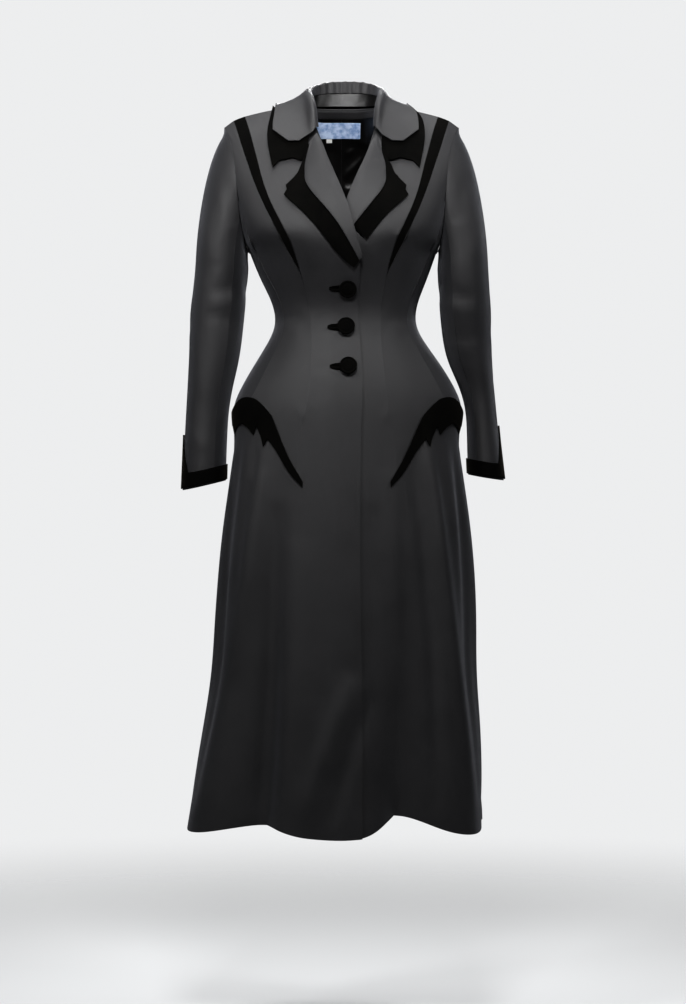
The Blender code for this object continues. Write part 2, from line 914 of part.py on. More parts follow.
def over_body(across, height, lift, thickness):
    """Where a layer that lies on the body goes: its outer face is its thickness out."""
    return body(across, height), outward(across, height), lift + thickness


def hip_velvet(name, side):
    """The crescent over the hip, with a toothed lower edge, from front round to back."""
    stops = HIP_STOPS + [2.0 - share for share in reversed(HIP_STOPS[:-1])]

    def place(i, j):
        share = min(stops[i], 2.0 - stops[i])
        upper = straight(HIP_VELVET, share, 1)
        lower = straight(HIP_VELVET, share, 2)
        return over_body(side * stops[i], mix(lower, upper, j / HIP_ROWS), HIP_LIFT, VELVET)

    wall("hip_velvet_" + name, len(stops) - 1, HIP_ROWS, place, VELVET, VELVET_LOOK)


for name, side in SIDES:
    hip_velvet(name, side)


# ---------------------------------------------------------------- sleeves


def sleeve_hem(side, turn):
    """Height of a sleeve's end, lower on the outside."""
    return CUFF_OUT[side] + CUFF_RISE[side] * (1.0 - math.cos(math.radians(turn))) / 2


def sleeve_ring(side, turn, z):
    """A point of the sleeve: turn is 0 on the outside, 90 in front and 180 inside."""
    outer = along(SLEEVE, z, 1 if side < 0 else 3)
    inner = along(SLEEVE, z, 2 if side < 0 else 4)
    middle = along(SLEEVE, z, 5 if side < 0 else 6)
    depth = along(SLEEVE, z, 7)
    angle = math.radians(turn)
    x = (outer + inner) / 2 + (outer - inner) / 2 * math.cos(angle)
    return Vector((side * x, middle - depth * math.sin(angle), z))


def armhole(side, turn):
    """A point of the armhole, round the sleeve in the same way."""
    turn %= 360.0
    front = turn <= 180.0
    share = 1.0 - turn / 180.0 if front else turn / 180.0 - 1.0
    across = EDGE if front else 2.0 - EDGE
    return body(side * across, mix(ARMPIT, SHOULDER, share)) + Vector((side * SLEEVE_START, 0, 0))


def sleeve(side, turn, down):
    """A point of the sleeve: down is 0 at the armhole, 1 under it and 2 at the end."""
    if down > 1.0:
        return sleeve_ring(side, turn, mix(SLEEVE_TOP, sleeve_hem(side, turn), down - 1.0))
    start, end = armhole(side, turn), sleeve_ring(side, turn, SLEEVE_TOP)
    length = (end - start).length
    high = (1.0 + math.cos(math.radians(turn))) / 2
    out = Vector((side * (0.15 + 0.22 * high), -0.12 * math.sin(math.radians(turn)),
                  -(0.9 - 0.6 * high))) * length
    fall = Vector((0, 0, -length))
    t = down
    return (start * (1 + 2 * t) * (1 - t) ** 2 + end * t * t * (3 - 2 * t)
            + out * t * (1 - t) ** 2 - fall * t * t * (1 - t))


def sleeve_out(side, turn, down):
    """The direction straight out of the sleeve."""
    low, high = max(down - 0.01, 0.0), min(down + 0.01, 2.0)
    along_it = sleeve(side, turn, high) - sleeve(side, turn, low)
    round_it = sleeve(side, turn + 1.5, down) - sleeve(side, turn - 1.5, down)
    return along_it.cross(round_it).normalized() * -side


def down_at(j):
    """How far down the sleeve a row lies, rows counted up from the end."""
    if j > TUBE_ROWS:
        return 1.0 - (j - TUBE_ROWS) / CAP_ROWS
    return 2.0 - j / TUBE_ROWS


def sleeve_piece(name, side, first, last, columns):
    """One of the two pieces of a sleeve, between its lengthwise seams."""
    def place(i, j):
        turn = mix(first, last, i / columns)
        down = down_at(j)
        wide = (sleeve(side, turn + 1, down) - sleeve(side, turn - 1, down)).length / 2
        turn += ((i == 0) - (i == columns)) * SEAM_GAP / 2 / wide
        return sleeve(side, turn, down), sleeve_out(side, turn, down), 0.0

    wall(name, columns, TUBE_ROWS + CAP_ROWS, place, CLOTH, CLOTH_LOOK)


def cuff(name, side):
    """The velvet round the sleeve's end, with a tongue up the outside over the vent."""
    def place(i, j):
        turn = CUFF_TURNS[i]
        hem = sleeve_hem(side, turn)
        z = hem + straight(CUFF_EDGE, turn, 1) * j / CUFF_ROWS
        down = 2.0 - (z - hem) / (SLEEVE_TOP - hem)
        return sleeve(side, turn, down), sleeve_out(side, turn, down), CUFF_LIFT + VELVET

    wall("cuff_velvet_" + name, len(CUFF_TURNS) - 1, CUFF_ROWS, place, VELVET, VELVET_LOOK)


for name, side in SIDES:
    sleeve_piece("sleeve_upper_" + name, side, HIND_SEAM - 360.0, FRONT_SEAM, UPPER_COLUMNS)
    sleeve_piece("sleeve_under_" + name, side, FRONT_SEAM, HIND_SEAM, UNDER_COLUMNS)
    cuff(name, side)


# ---------------------------------------------------------------- collar


def collar_places(side):
    """Body places of the collar's outer edge and end over the chest, on one side."""
    edge = [(q, *find_front(side * x, z)) for q, x, z in COLLAR_FRONT]
    end = [(w, *find_front(side * x, z)) for w, x, z in COLLAR_END]
    start = (0.5, side * COLLAR_BACK[-1][1], -0.5)
    return (start, *edge), end


collar_lines = {side: collar_places(side) for _, side in SIDES}


def collar_foot(q, w, side):
    """The place on the body under a point of the collar."""
    if q < 0.5:
        neck = NECK_POINT * q / 0.5
        share = mix(neck, along(COLLAR_BACK, q, 1), w)
        return side * (2.0 - share), mix(-0.5, along(COLLAR_BACK, q, 2), w)
    edge, end = collar_lines[side]
    neck = side * mix(NECK_POINT, NECK_FRONT, (q - 0.5) / 0.5)
    across, height = mix(neck, along(edge, q, 1), w), mix(-0.5, along(edge, q, 2), w)
    last = side * NECK_FRONT
    off_across = along(end, w, 1) - mix(last, edge[-1][1], w)
    off_height = along(end, w, 2) - mix(-0.5, edge[-1][2], w)
    near = ((q - 0.5) / 0.5) ** 2
    return across + off_across * near, height + off_height * near


def collar(q, w):
    """The collar: q is 0 at centre back and 1 or -1 at its ends; w is -1 at the neck
    seam, 0 at the fold and 1 at the outer edge."""
    side = -1 if q < 0 else 1
    q = abs(q)
    fold = Vector((side * along(COLLAR_FOLD, q, 1),
                   along(COLLAR_FOLD, q, 2), along(COLLAR_FOLD, q, 3)))
    if w < 0:
        neck = body(*collar_foot(q, 0.0, side))
        return fold.lerp(neck, -w)
    foot = collar_foot(q, w, side)
    over_seam = math.exp(-((q - 0.5) / SEAM_BUMP_WIDE) ** 2)
    lying, out = on_body(*foot)
    lying = lying + out * (COLLAR_LIFT + SEAM_BUMP * over_seam)
    near = 1.0 - (1.0 - w) ** 2.2
    away = Vector((fold.x, fold.y - 10.0, 0.0)).normalized()
    return fold.lerp(lying, near) + away * FOLD_WIDE * ease(w / 0.12) * (1.0 - near)


def collar_out(q, w):
    """The direction out of the collar: to the neck inside the fold, outwards beyond it."""
    step = 0.012
    wide = mix(step, SEAM_SMOOTH, ease(w / 0.45))
    low, high = max(q - wide, -1.0), min(q + wide, 1.0)
    round_it = collar(high, w) - collar(low, w)
    along_it = collar(q, min(w + step, 1.0)) - collar(q, max(w - step, -1.0))
    return round_it.cross(along_it).normalized()


def collar_piece(name, ways, lift, thickness, look, ends=None):
    """One layer of the collar, from end to end."""
    def place(i, j):
        w = ways[j]
        reach = along(ends, w, 1) if ends else 1.0
        step = abs(i - COLLAR_STEPS) / COLLAR_STEPS
        q = step if step <= 0.5 else mix(0.5, reach, (step - 0.5) / 0.5)
        q = math.copysign(q, i - COLLAR_STEPS)
        return collar(q, w), collar_out(q, w), lift + thickness

    wall(name, 2 * COLLAR_STEPS, len(ways) - 1, place, thickness, look)


collar_piece("collar_under", UNDER_LAYER_WAYS, -VELVET, VELVET, VELVET_LOOK)
collar_piece("collar_top", TOP_LAYER_WAYS, 2.3, CLOTH, CLOTH_LOOK, TOP_LAYER_END)
collar_piece("collar_stand", (-0.9, -0.75, -0.6, STAND_SHARE - 0.03), 0.9, CLOTH, SATIN_LOOK,
             ((-1.0, 0.82), (0.0, 0.82)))


# ---------------------------------------------------------------- lapels


def lapel_point(side, p, w):
    """A point over the chest on the lapel: p is the way down its roll, w the way out."""
    roll = Vector((along(LAPEL, p, 1), along(LAPEL, p, 2)))
    edge = Vector((straight(LAPEL, p, 3), straight(LAPEL, p, 4)))
    spot = roll.lerp(edge, w)
    across, height = find_front(side * spot.x, spot.y)
    point, out = body(across, height), outward(across, height)
    far = (spot - roll).length / ROLL_WIDE
    lift = LAPEL_FLOAT + LAPEL_FOOT_FLOAT * ease((p - LAPEL_FOOT_START) / LAPEL_FOOT_RUN)
    lift += ROLL_HIGH * (1.0 - p) * far * math.exp(1.0 - far)
    if side < 0:
        lift += lap_lift(side * point.x, point.z)
    return point, out, lift


def lapel(name, side, downs):
    """The velvet lapel and the smaller cloth layer on it."""
    top_ways = LAPEL_ACROSS + (1.0,)

    def place_under(i, j):
        p = downs[j]
        reach = straight(LAPEL, p, 5)
        ways = [reach * w for w in top_ways] + [mix(reach, 1.0, 0.5), 1.0]
        point, out, lift = lapel_point(side, p, ways[i])
        return point, out, lift + VELVET

    def place_top(i, j):
        p = downs[j]
        point, out, lift = lapel_point(side, p, straight(LAPEL, p, 5) * top_ways[i])
        return point, out, lift + VELVET + LAYER_GAP + CLOTH

    columns = len(top_ways) - 1
    wall("lapel_velvet_" + name, columns + 2, len(downs) - 1, place_under, VELVET, VELVET_LOOK)
    wall("lapel_top_" + name, columns, len(downs) - 1, place_top, CLOTH, CLOTH_LOOK)


lapel("right", -1, LAPEL_DOWN)
lapel("left", 1, LAPEL_DOWN_UNDER)


# ---------------------------------------------------------------- inside the neck


def inside_back(name, edges, heights, columns, rows, depth, thickness, look):
    """A layer on the inside of the back, from one place across to another."""
    def place(i, j):
        across = 2.0 - mix(edges[0], edges[1], i / columns)
        height = mix(heights[0], heights[1], j / rows)
        out = outward(across, height)
        if abs(2.0 - across) < 2 * half_gap:
            out.x = 0.0
            out.normalize()
        return body(across, height), out, -depth

    wall(name, columns, rows, place, thickness, look)


lining_depth = CLOTH + LINING_GAP
label_depth = lining_depth + SATIN + LABEL_GAP
half_gap = 0.004
inside_back("neck_facing", (-0.36, 0.36), (-FACING_DEPTH, -3.0), 12, 1,
            lining_depth, SATIN, CLOTH_LOOK)
for name, side in SIDES:
    edges = (side * half_gap, side * LINING_REACH)
    inside_back("back_lining_" + name, edges, (-LINING_DEPTH, -FACING_DEPTH - 0.5), 5, 6,
                lining_depth, SATIN, SATIN_LOOK)
inside_back("label", (LABEL_RIGHT, LABEL_LEFT), (LABEL_FOOT, LABEL_TOP), 8, 2,
            label_depth, SATIN, LABEL_LOOK)
inside_back("size_tab", (-0.13, -0.08), (TAB_FOOT, LABEL_FOOT - 0.6), 2, 1,
            label_depth, SATIN, TAB_LOOK)


# ---------------------------------------------------------------- buttons


def front_place(x, z):
    """A point on the overlapping front, the direction out of it, and its outer face."""
    across, height = find_front(x, z)
    point = body(across, height)
    return point, outward(across, height), lap_lift(-point.x, point.z)


def buttonhole(name, x, z, off):
    """The velvet binding of a buttonhole, a tongue that tapers away from the button."""
    columns, rows = 6, 2

    def place(i, j):
        far = 1.0 - i / columns
        high = HOLE_HIGH * mix(1.0, 0.45, far) * (1.0 if 0 < i else 0.6)
        spot = (x + HOLE_END - HOLE_LONG * far, z + high * (2.0 * j / rows - 1.0))
        point, out, lift = front_place(*spot)
        return point, out, lift + off + VELVET

    wall(name, columns, rows, place, VELVET, VELVET_LOOK)


def button(name, x, z, off):
    """A velvet-covered button: a domed middle in a raised rim, turned about its axis."""
    data = bpy.data.meshes.new(name)
    points = [(r * BUTTON_RADIUS * MM, 0, h * BUTTON_RADIUS * MM) for r, h in BUTTON_PROFILE]
    edges = [(k, k + 1) for k in range(len(points) - 1)]
    data.from_pydata(points, edges, [])
    piece = bpy.data.objects.new(name, data)
    coat.objects.link(piece)
    turn = piece.modifiers.new("turn", "SCREW")
    turn.steps = turn.render_steps = BUTTON_STEPS
    turn.use_merge_vertices = True
    turn.merge_threshold = 0.00001
    point, out, lift = front_place(x, z)
    piece.location = (point + out * (lift + off + VELVET + BUTTON_GAP)) * MM
    piece.rotation_euler = out.to_track_quat("Z", "Y").to_euler()
    finish(piece, *VELVET_LOOK)


for number, place_of_button in enumerate(BUTTONS, start=1):
    buttonhole(f"buttonhole_{number}", *place_of_button)
    button(f"button_{number}", *place_of_button)
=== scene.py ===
import math

import bmesh
import bpy
import numpy as np
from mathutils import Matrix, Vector, noise


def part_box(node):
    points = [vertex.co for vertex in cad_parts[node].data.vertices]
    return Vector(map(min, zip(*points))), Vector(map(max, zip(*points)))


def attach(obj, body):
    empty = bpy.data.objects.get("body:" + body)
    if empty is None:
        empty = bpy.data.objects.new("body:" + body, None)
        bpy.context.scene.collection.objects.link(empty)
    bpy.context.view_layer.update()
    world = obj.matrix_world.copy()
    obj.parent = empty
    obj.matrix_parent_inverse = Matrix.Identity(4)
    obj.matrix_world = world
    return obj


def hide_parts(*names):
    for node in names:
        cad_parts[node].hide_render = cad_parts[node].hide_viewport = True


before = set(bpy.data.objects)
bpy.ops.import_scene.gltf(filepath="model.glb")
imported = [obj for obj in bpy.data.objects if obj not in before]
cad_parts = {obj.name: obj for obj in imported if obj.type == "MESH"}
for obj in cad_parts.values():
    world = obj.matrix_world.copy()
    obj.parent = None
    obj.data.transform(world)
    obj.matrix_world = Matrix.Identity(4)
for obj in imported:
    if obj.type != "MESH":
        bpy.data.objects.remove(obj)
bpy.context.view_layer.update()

scene = bpy.context.scene


# ---------------------------------------------------------------- the studio
# A level camera in front of the coat, a soft lamp high in front that falls off down
# the skirt, a weaker one on each side, and a pale floor that fades out.
eye = bpy.data.cameras.new("camera")
eye.sensor_width = 36.0
eye.lens = 95.7
camera = bpy.data.objects.new("camera", eye)
scene.collection.objects.link(camera)
camera.location = (-0.0053, -4.75, -0.698)
camera.rotation_euler = (math.radians(90), 0, 0)
scene.camera = camera


def lamp(name, place, towards, size, watts, spread=180.0):
    """A square soft lamp that faces a point."""
    light = bpy.data.lights.new(name, "AREA")
    light.size = size
    light.energy = watts
    light.spread = math.radians(spread)
    fitting = bpy.data.objects.new(name, light)
    fitting.location = place
    aim = Vector(towards) - Vector(place)
    fitting.rotation_euler = aim.to_track_quat("-Z", "Y").to_euler()
    scene.collection.objects.link(fitting)


lamp("key_lamp", (-0.05, -1.70, 0.85), (0.0, 0.0, -0.12), 0.5, 9.2, 84.0)
lamp("left_lamp", (-1.7, -1.5, 0.9), (-0.1, 0.0, -0.25), 0.6, 5.6, 80.0)
lamp("right_lamp", (1.8, -1.1, 0.8), (0.1, 0.0, -0.25), 0.6, 3.6, 80.0)
lamp("back_lamp", (0.2, 2.0, 0.9), (0.0, 0.0, -0.2), 0.8, 13.0, 90.0)
lamp("floor_lamp", (0.0, 0.3, 2.6), (0.0, 0.3, -1.6), 1.6, 13.0, 70.0)

sky = bpy.data.worlds.new("studio_air")
scene.world = sky
sky.use_nodes = True
air = sky.node_tree
air.nodes.clear()
seen = air.nodes.new("ShaderNodeBackground")
seen.inputs["Color"].default_value = (0.715, 0.72, 0.725, 1)
seen.inputs["Strength"].default_value = 1.0
lighting = air.nodes.new("ShaderNodeBackground")
lighting.inputs["Color"].default_value = (0.80, 0.81, 0.83, 1)
lighting.inputs["Strength"].default_value = 0.03
ray = air.nodes.new("ShaderNodeLightPath")
either = air.nodes.new("ShaderNodeMixShader")
sky_out = air.nodes.new("ShaderNodeOutputWorld")
air.links.new(ray.outputs["Is Camera Ray"], either.inputs[0])
air.links.new(lighting.outputs[0], either.inputs[1])
air.links.new(seen.outputs[0], either.inputs[2])
air.links.new(either.outputs[0], sky_out.inputs["Surface"])

bm = bmesh.new()
bmesh.ops.create_circle(bm, cap_ends=True, segments=96, radius=4.0)
bmesh.ops.translate(bm, verts=bm.verts, vec=(0, 0, -1.62))
floor_mesh = bpy.data.meshes.new("floor")
bm.to_mesh(floor_mesh)
bm.free()
floor = bpy.data.objects.new("floor", floor_mesh)
scene.collection.objects.link(floor)
pale = bpy.data.materials.new("pale_floor")
pale.use_nodes = True
tree = pale.node_tree
paint = tree.nodes["Principled BSDF"]
paint.inputs["Base Color"].default_value = (0.78, 0.79, 0.80, 1)
paint.inputs["Roughness"].default_value = 0.9
spot = tree.nodes.new("ShaderNodeTexCoord")
far_off = tree.nodes.new("ShaderNodeVectorMath")
far_off.operation = "LENGTH"
fade = tree.nodes.new("ShaderNodeMapRange")
fade.interpolation_type = "SMOOTHSTEP"
fade.inputs["From Min"].default_value = 1.2
fade.inputs["From Max"].default_value = 3.2
fade.inputs["To Min"].default_value = 1.0
fade.inputs["To Max"].default_value = 0.0
tree.links.new(spot.outputs["Object"], far_off.inputs[0])
tree.links.new(far_off.outputs["Value"], fade.inputs["Value"])
tree.links.new(fade.outputs["Result"], paint.inputs["Alpha"])
floor_mesh.materials.append(pale)


# ---------------------------------------------------------------- fronts, sides and back
# Charcoal black wool with a fine twill on its face, cut in panels that are seamed from
# the shoulder to the hip. The fronts and backs run on below it as a wide pleated skirt.
WOOL_THICK = 0.0018
WOOL_COLOUR = (0.0085, 0.0083, 0.0092, 1)
WOOL_HIGH = (0.0165, 0.0160, 0.0175, 1)
CLOTH_THICK = (0.0018, 0.0014, 0.0010)
CORNER_TURN = math.radians(34)


SLEEVE_AXIS = 0.235


def looks_out(node, faces):
    """How far a sheet's faces look away from the middle of the body or of the sleeve."""
    axis = SLEEVE_AXIS if node.startswith(("sleeve", "cuff")) else 0.0
    axis = -axis if node.endswith("right") else axis
    whole = Vector()
    for face in faces:
        away = face.calc_center_median() - Vector((axis, 0.0, 0.0))
        away.z = 0.0
        whole.x += face.normal.dot(away.normalized()) * face.calc_area()
        whole.y += face.calc_area()
    return whole.x / whole.y


def panel_face(node, inside=False):
    """The outer face of a packed panel as one open sheet of quads, or its inner face. The
    cut edge's faces are the ones with a side as long as the cloth is thick."""
    mesh = bmesh.new()
    mesh.from_mesh(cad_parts[node].data)
    bmesh.ops.remove_doubles(mesh, verts=mesh.verts, dist=0.00002)
    mesh.normal_update()
    rim = set()
    for edge in mesh.edges:
        through = (edge.verts[1].co - edge.verts[0].co).normalized()
        ends = through.dot(edge.verts[0].normal) * through.dot(edge.verts[1].normal)
        if abs(ends) > 0.01 and any(abs(edge.calc_length() - t) < 0.00003 for t in CLOTH_THICK):
            rim.update(edge.link_faces)
    bmesh.ops.delete(mesh, geom=list(rim), context="FACES")
    sheets, left = [], set(mesh.faces)
    while left:
        sheet, edge = set(), [left.pop()]
        while edge:
            face = edge.pop()
            sheet.add(face)
            for near in (other for e in face.edges for other in e.link_faces):
                if near in left:
                    left.discard(near)
                    edge.append(near)
        sheets.append(sheet)
    sheets.sort(key=lambda faces: -sum(f.calc_area() for f in faces))
    sheets = sorted(sheets[:2], key=lambda faces: -looks_out(node, faces))
    kept = sheets[1] if inside else sheets[0]
    gone = [f for f in mesh.faces if f not in kept]
    bmesh.ops.delete(mesh, geom=gone, context="FACES")
    if inside:
        bmesh.ops.reverse_faces(mesh, faces=mesh.faces[:])
    bmesh.ops.join_triangles(mesh, faces=mesh.faces[:], angle_face_threshold=math.radians(40),
                             angle_shape_threshold=math.radians(60))
    return mesh


def keep_corners(mesh):
    """Marks each sharp turn of an outline, so that smoothing leaves it as a corner."""
    crease = mesh.verts.layers.float.new("crease_vert")
    for vert in mesh.verts:
        rim = [e for e in vert.link_edges if e.is_boundary]
        if len(rim) == 2:
            a, b = (e.other_vert(vert).co - vert.co for e in rim)
            if math.pi - a.angle(b, math.pi) > CORNER_TURN:
                vert[crease] = 1.0


def lay_flat(piece):
    """Unwraps a piece as its flat cut, in metres with the grain along V. Gives its
    width, its length and its area."""
    bpy.context.view_layer.objects.active = piece
    piece.select_set(True)
    bpy.ops.object.mode_set(mode="EDIT")
    bpy.ops.mesh.select_all(action="SELECT")
    bpy.ops.uv.unwrap(method="ANGLE_BASED", margin=0.0)
    bpy.ops.object.mode_set(mode="OBJECT")
    piece.select_set(False)
    data = piece.data
    flat = np.zeros(len(data.loops) * 2)
    data.uv_layers.active.data.foreach_get("uv", flat)
    flat = flat.reshape(-1, 2)
    corner = np.zeros(len(data.loops), int)
    data.loops.foreach_get("vertex_index", corner)
    place = np.zeros(len(data.vertices) * 3)
    data.vertices.foreach_get("co", place)
    solid = place.reshape(-1, 3)[corner]
    real = sum(face.area for face in data.polygons)
    uses = {}
    for face in data.polygons:
        for key in face.edge_keys:
            uses[key] = uses.get(key, 0) + 1
    rim = sum((data.vertices[a].co - data.vertices[b].co).length
              for (a, b), times in uses.items() if times == 1)
    drawn, grain = 0.0, np.zeros(2)
    for face in data.polygons:
        loops = np.array(face.loop_indices)
        uv, co = flat[loops], solid[loops]
        x, y = uv[:, 0], uv[:, 1]
        drawn += abs((x * np.roll(y, -1) - y * np.roll(x, -1)).sum()) / 2
        side, rise = uv - uv.mean(0), co[:, 2] - co[:, 2].mean()
        slope = np.linalg.lstsq(side, rise, rcond=None)[0]
        grain += slope * face.area
    turn = math.pi / 2 - math.atan2(grain[1], grain[0])
    scale = math.sqrt(real / max(drawn, 1e-12))
    spin = np.array([[math.cos(turn), math.sin(turn)], [-math.sin(turn), math.cos(turn)]])
    flat = (flat - flat.mean(0)) @ spin * scale
    data.uv_layers.active.data.foreach_set("uv", flat.ravel())
    best = None
    for angle in np.radians(np.arange(0.0, 90.0, 3.0)):
        lean = np.array([[math.cos(angle), -math.sin(angle)], [math.sin(angle), math.cos(angle)]])
        size = np.ptp(flat @ lean, axis=0)
        if best is None or size[0] * size[1] < best[0] * best[1]:
            best = size
    width, length = sorted(float(v) for v in best)
    if real < 0.4 * width * length:
        # a curved strip, stated as the straight strip with the same outline length
        half = rim / 2
        length = (half + math.sqrt(max(half * half - 4 * real, 0.0))) / 2
        width = real / length
    return width, length, real


def smoothed(mesh, name, levels, unwrap=True):
    """A new piece from a coarse sheet, unwrapped flat and then subdivided."""
    keep_corners(mesh)
    data = bpy.data.meshes.new(name)
    mesh.to_mesh(data)
    mesh.free()
    rough = bpy.data.objects.new(name + "_rough", data)
    scene.collection.objects.link(rough)
    cut = lay_flat(rough) if unwrap else None
    finer = rough.modifiers.new("finer", "SUBSURF")
    finer.levels = finer.render_levels = levels
    finer.boundary_smooth = "PRESERVE_CORNERS"
    bpy.context.view_layer.update()
    seen_by = bpy.context.evaluated_depsgraph_get()
    fine = bpy.data.meshes.new_from_object(rough.evaluated_get(seen_by))
    fine.name = name
    bpy.data.objects.remove(rough)
    piece = bpy.data.objects.new(name, fine)
    scene.collection.objects.link(piece)
    fine.polygons.foreach_set("use_smooth", [True] * len(fine.polygons))
    return piece, cut


def moved_out(piece, height):
    """Moves each point of a sheet along its normal by height(places, normals)."""
    data = piece.data
    count = len(data.vertices)
    place, out = np.zeros(count * 3), np.zeros(count * 3)
    data.vertices.foreach_get("co", place)
    data.vertices.foreach_get("normal", out)
    place, out = place.reshape(-1, 3), out.reshape(-1, 3)
    place = place + out * height(place, out)[:, None]
    data.vertices.foreach_set("co", place.ravel())
    data.update()


def rim_ways(mesh):
    """The cut edges of a sheet, and the way out of the sheet at each of their points."""
    rims = [e for e in mesh.edges if e.is_boundary]
    away = {}
    for edge in rims:
        face = edge.link_faces[0]
        start, end = edge.verts
        side = (end.co - start.co).cross(face.normal)
        if side.dot(start.co - face.calc_center_median()) < 0:
            side.negate()
        for vert in edge.verts:
            away[vert] = away.get(vert, Vector()) + side.normalized()
    return rims, {vert: side.normalized() for vert, side in away.items()}


def turned_in(piece, depth, lap=0.0004):
    """Turns a narrow allowance of the cloth inwards along every cut edge, so that no
    light comes through the seams. The edge itself moves out by lap, to meet its neighbour."""
    mesh = bmesh.new()
    mesh.from_mesh(piece.data)
    rims, away = rim_ways(mesh)
    for vert, side in away.items():
        vert.co += side * lap
    inward = {vert: vert.normal.copy() for vert in away}
    grown = bmesh.ops.extrude_edge_only(mesh, edges=rims)["geom"]
    for edge in (g for g in grown if isinstance(g, bmesh.types.BMEdge)):
        for old, new in (edge.verts, reversed(edge.verts)):
            if old in inward and new not in inward:
                new.co = old.co - inward[old] * depth
    mesh.to_mesh(piece.data)
    mesh.free()
    piece.data.polygons.foreach_set("use_smooth", [True] * len(piece.data.polygons))


def soft_fold(across, up, line, width):
    """How near each point lies to a fold's line, from 1 on it to 0 away from it. The fold
    runs out softly at its two ends. Rows of line are (across, up) in millimetres."""
    line = np.array(line, float) * 0.001
    width = width * 0.001
    best = np.zeros(len(across))
    runs = np.linalg.norm(np.diff(line, axis=0), axis=1)
    whole, before = runs.sum(), 0.0
    for start, end, run in zip(line[:-1], line[1:], runs):
        step = (end - start) / run
        at = (across - start[0]) * step[0] + (up - start[1]) * step[1]
        t = np.clip(at, 0.0, run)
        away = np.hypot(across - start[0] - step[0] * t, up - start[1] - step[1] * t)
        share = (before + t) / whole
        taper = np.clip(4.0 * share * (1.0 - share), 0.0, 1.0) ** 0.6
        best = np.maximum(best, np.exp(-(away / width) ** 2) * taper)
        before += run
    return best


# face, width and height of each fold, and its line as (across, up) in millimetres:
# across is x on the front and back and y on the sides; a negative height is a trough
BODY_FOLDS = (
    ("front", 20, 7.1, ((14, -1000), (-26, -1110), (-78, -1258))),
    ("front", 14, -4.6, ((44, -1030), (10, -1120), (-30, -1262))),
    ("front", 17, 5.5, ((-150, -640), (-172, -820), (-200, -1010))),
    ("front", 17, -6.7, ((-118, -700), (-130, -900), (-142, -1240))),
    ("front", 22, 4.2, ((-86, -760), (-92, -960), (-104, -1240))),
    ("front", 11, 5.9, ((136, -590), (158, -700), (182, -900), (204, -1080), (226, -1250))),
    ("front", 14, -6.3, ((112, -600), (132, -740), (150, -940), (160, -1240))),
    ("front", 17, 4.6, ((78, -640), (88, -860), (96, -1210))),
    ("front", 19, -4.2, ((40, -700), (44, -900), (52, -1240))),
    ("front", 9, -1.0, ((-118, -372), (-92, -380), (-70, -377))),
    ("front", 8, 0.9, ((-116, -388), (-94, -398), (-76, -396))),
    ("front", 9, -0.9, ((74, -372), (96, -377), (114, -370))),
    ("front", 8, 0.8, ((72, -390), (92, -395), (112, -386))),
    ("front", 14, -1.5, ((-132, -186), (-112, -214), (-96, -258))),
    ("front", 13, -1.2, ((124, -190), (106, -222), (94, -262))),
    ("front", 18, 1.6, ((-58, -208), (-40, -236), (-16, -262))),
    ("front", 20, 1.4, ((92, -138), (70, -178), (52, -214))),
    ("front", 6, 1.6, ((-82, -540), (-78, -548), (-76, -556))),
    ("front", 6, 1.5, ((72, -540), (70, -548), (70, -556))),
    ("back", 17, -5.5, ((-60, -560), (-72, -780), (-96, -1230))),
    ("back", 19, 5.9, ((-112, -620), (-128, -860), (-160, -1240))),
    ("back", 13, -4.6, ((-156, -700), (-172, -930), (-190, -1230))),
    ("back", 17, -5.9, ((52, -580), (66, -820), (84, -1235))),
    ("back", 15, 5.0, ((96, -610), (118, -880), (140, -1230))),
    ("back", 14, -4.2, ((142, -660), (160, -900), (178, -1215))),
    ("back", 19, 3.8, ((-22, -640), (-28, -900), (-34, -1220))),
    ("back", 9, -1.1, ((-100, -372), (-70, -381), (-36, -376))),
    ("back", 8, 1.0, ((-96, -391), (-66, -399), (-40, -395))),
    ("back", 9, -1.0, ((30, -376), (64, -380), (98, -371))),
    ("back", 14, -1.4, ((-128, -150), (-108, -190), (-96, -240))),
    ("back", 15, -1.3, ((120, -146), (104, -188), (90, -246))),
    ("back", 20, 1.2, ((-62, -60), (-70, -120), (-60, -190))),
    ("back", 18, 1.0, ((48, -64), (58, -128), (50, -196))),
    ("left", 15, -6.3, ((-52, -610), (-60, -820), (-72, -1230))),
    ("left", 14, 6.3, ((-14, -600), (-16, -860), (-20, -1230))),
    ("left", 14, -5.5, ((26, -620), (30, -900), (38, -1240))),
    ("right", 15, -5.9, ((-46, -620), (-52, -850), (-66, -1240))),
    ("right", 14, 6.3, ((-8, -610), (-12, -840), (-14, -1230))),
    ("right", 14, -5.0, ((32, -640), (38, -910), (46, -1230))),
)
FACES = {"front": (0, 1, -1.0), "back": (0, 1, 1.0), "left": (1, 0, 1.0), "right": (1, 0, -1.0)}


def body_folds(place, out):
    """Height of the listed folds over the body, with a faint unevenness."""
    height = np.zeros(len(place))
    for face, width, high, line in BODY_FOLDS:
        across, facing, sign = FACES[face]
        turned = np.clip(out[:, facing] * sign * 2.2 - 0.25, 0.0, 1.0)
        fold = soft_fold(place[:, across], place[:, 2], line, width)
        height += fold * turned * high * 0.001
    uneven = [noise.noise(Vector((x * 9.0, y * 9.0, z * 6.0))) for x, y, z in place]
    return height + np.array(uneven) * 0.0007


def wall_of(piece, thickness, rim):
    """Gives a sheet its cloth's thickness, inwards, and rounds its cut edges."""
    thick = piece.modifiers.new("thickness", "SOLIDIFY")
    thick.thickness = thickness
    thick.offset = -1.0
    thick.use_even_offset = False
    edge = piece.modifiers.new("rounded_edge", "BEVEL")
    edge.width = rim
    edge.segments = 2
    edge.limit_method = "ANGLE"
    edge.angle_limit = math.radians(55)


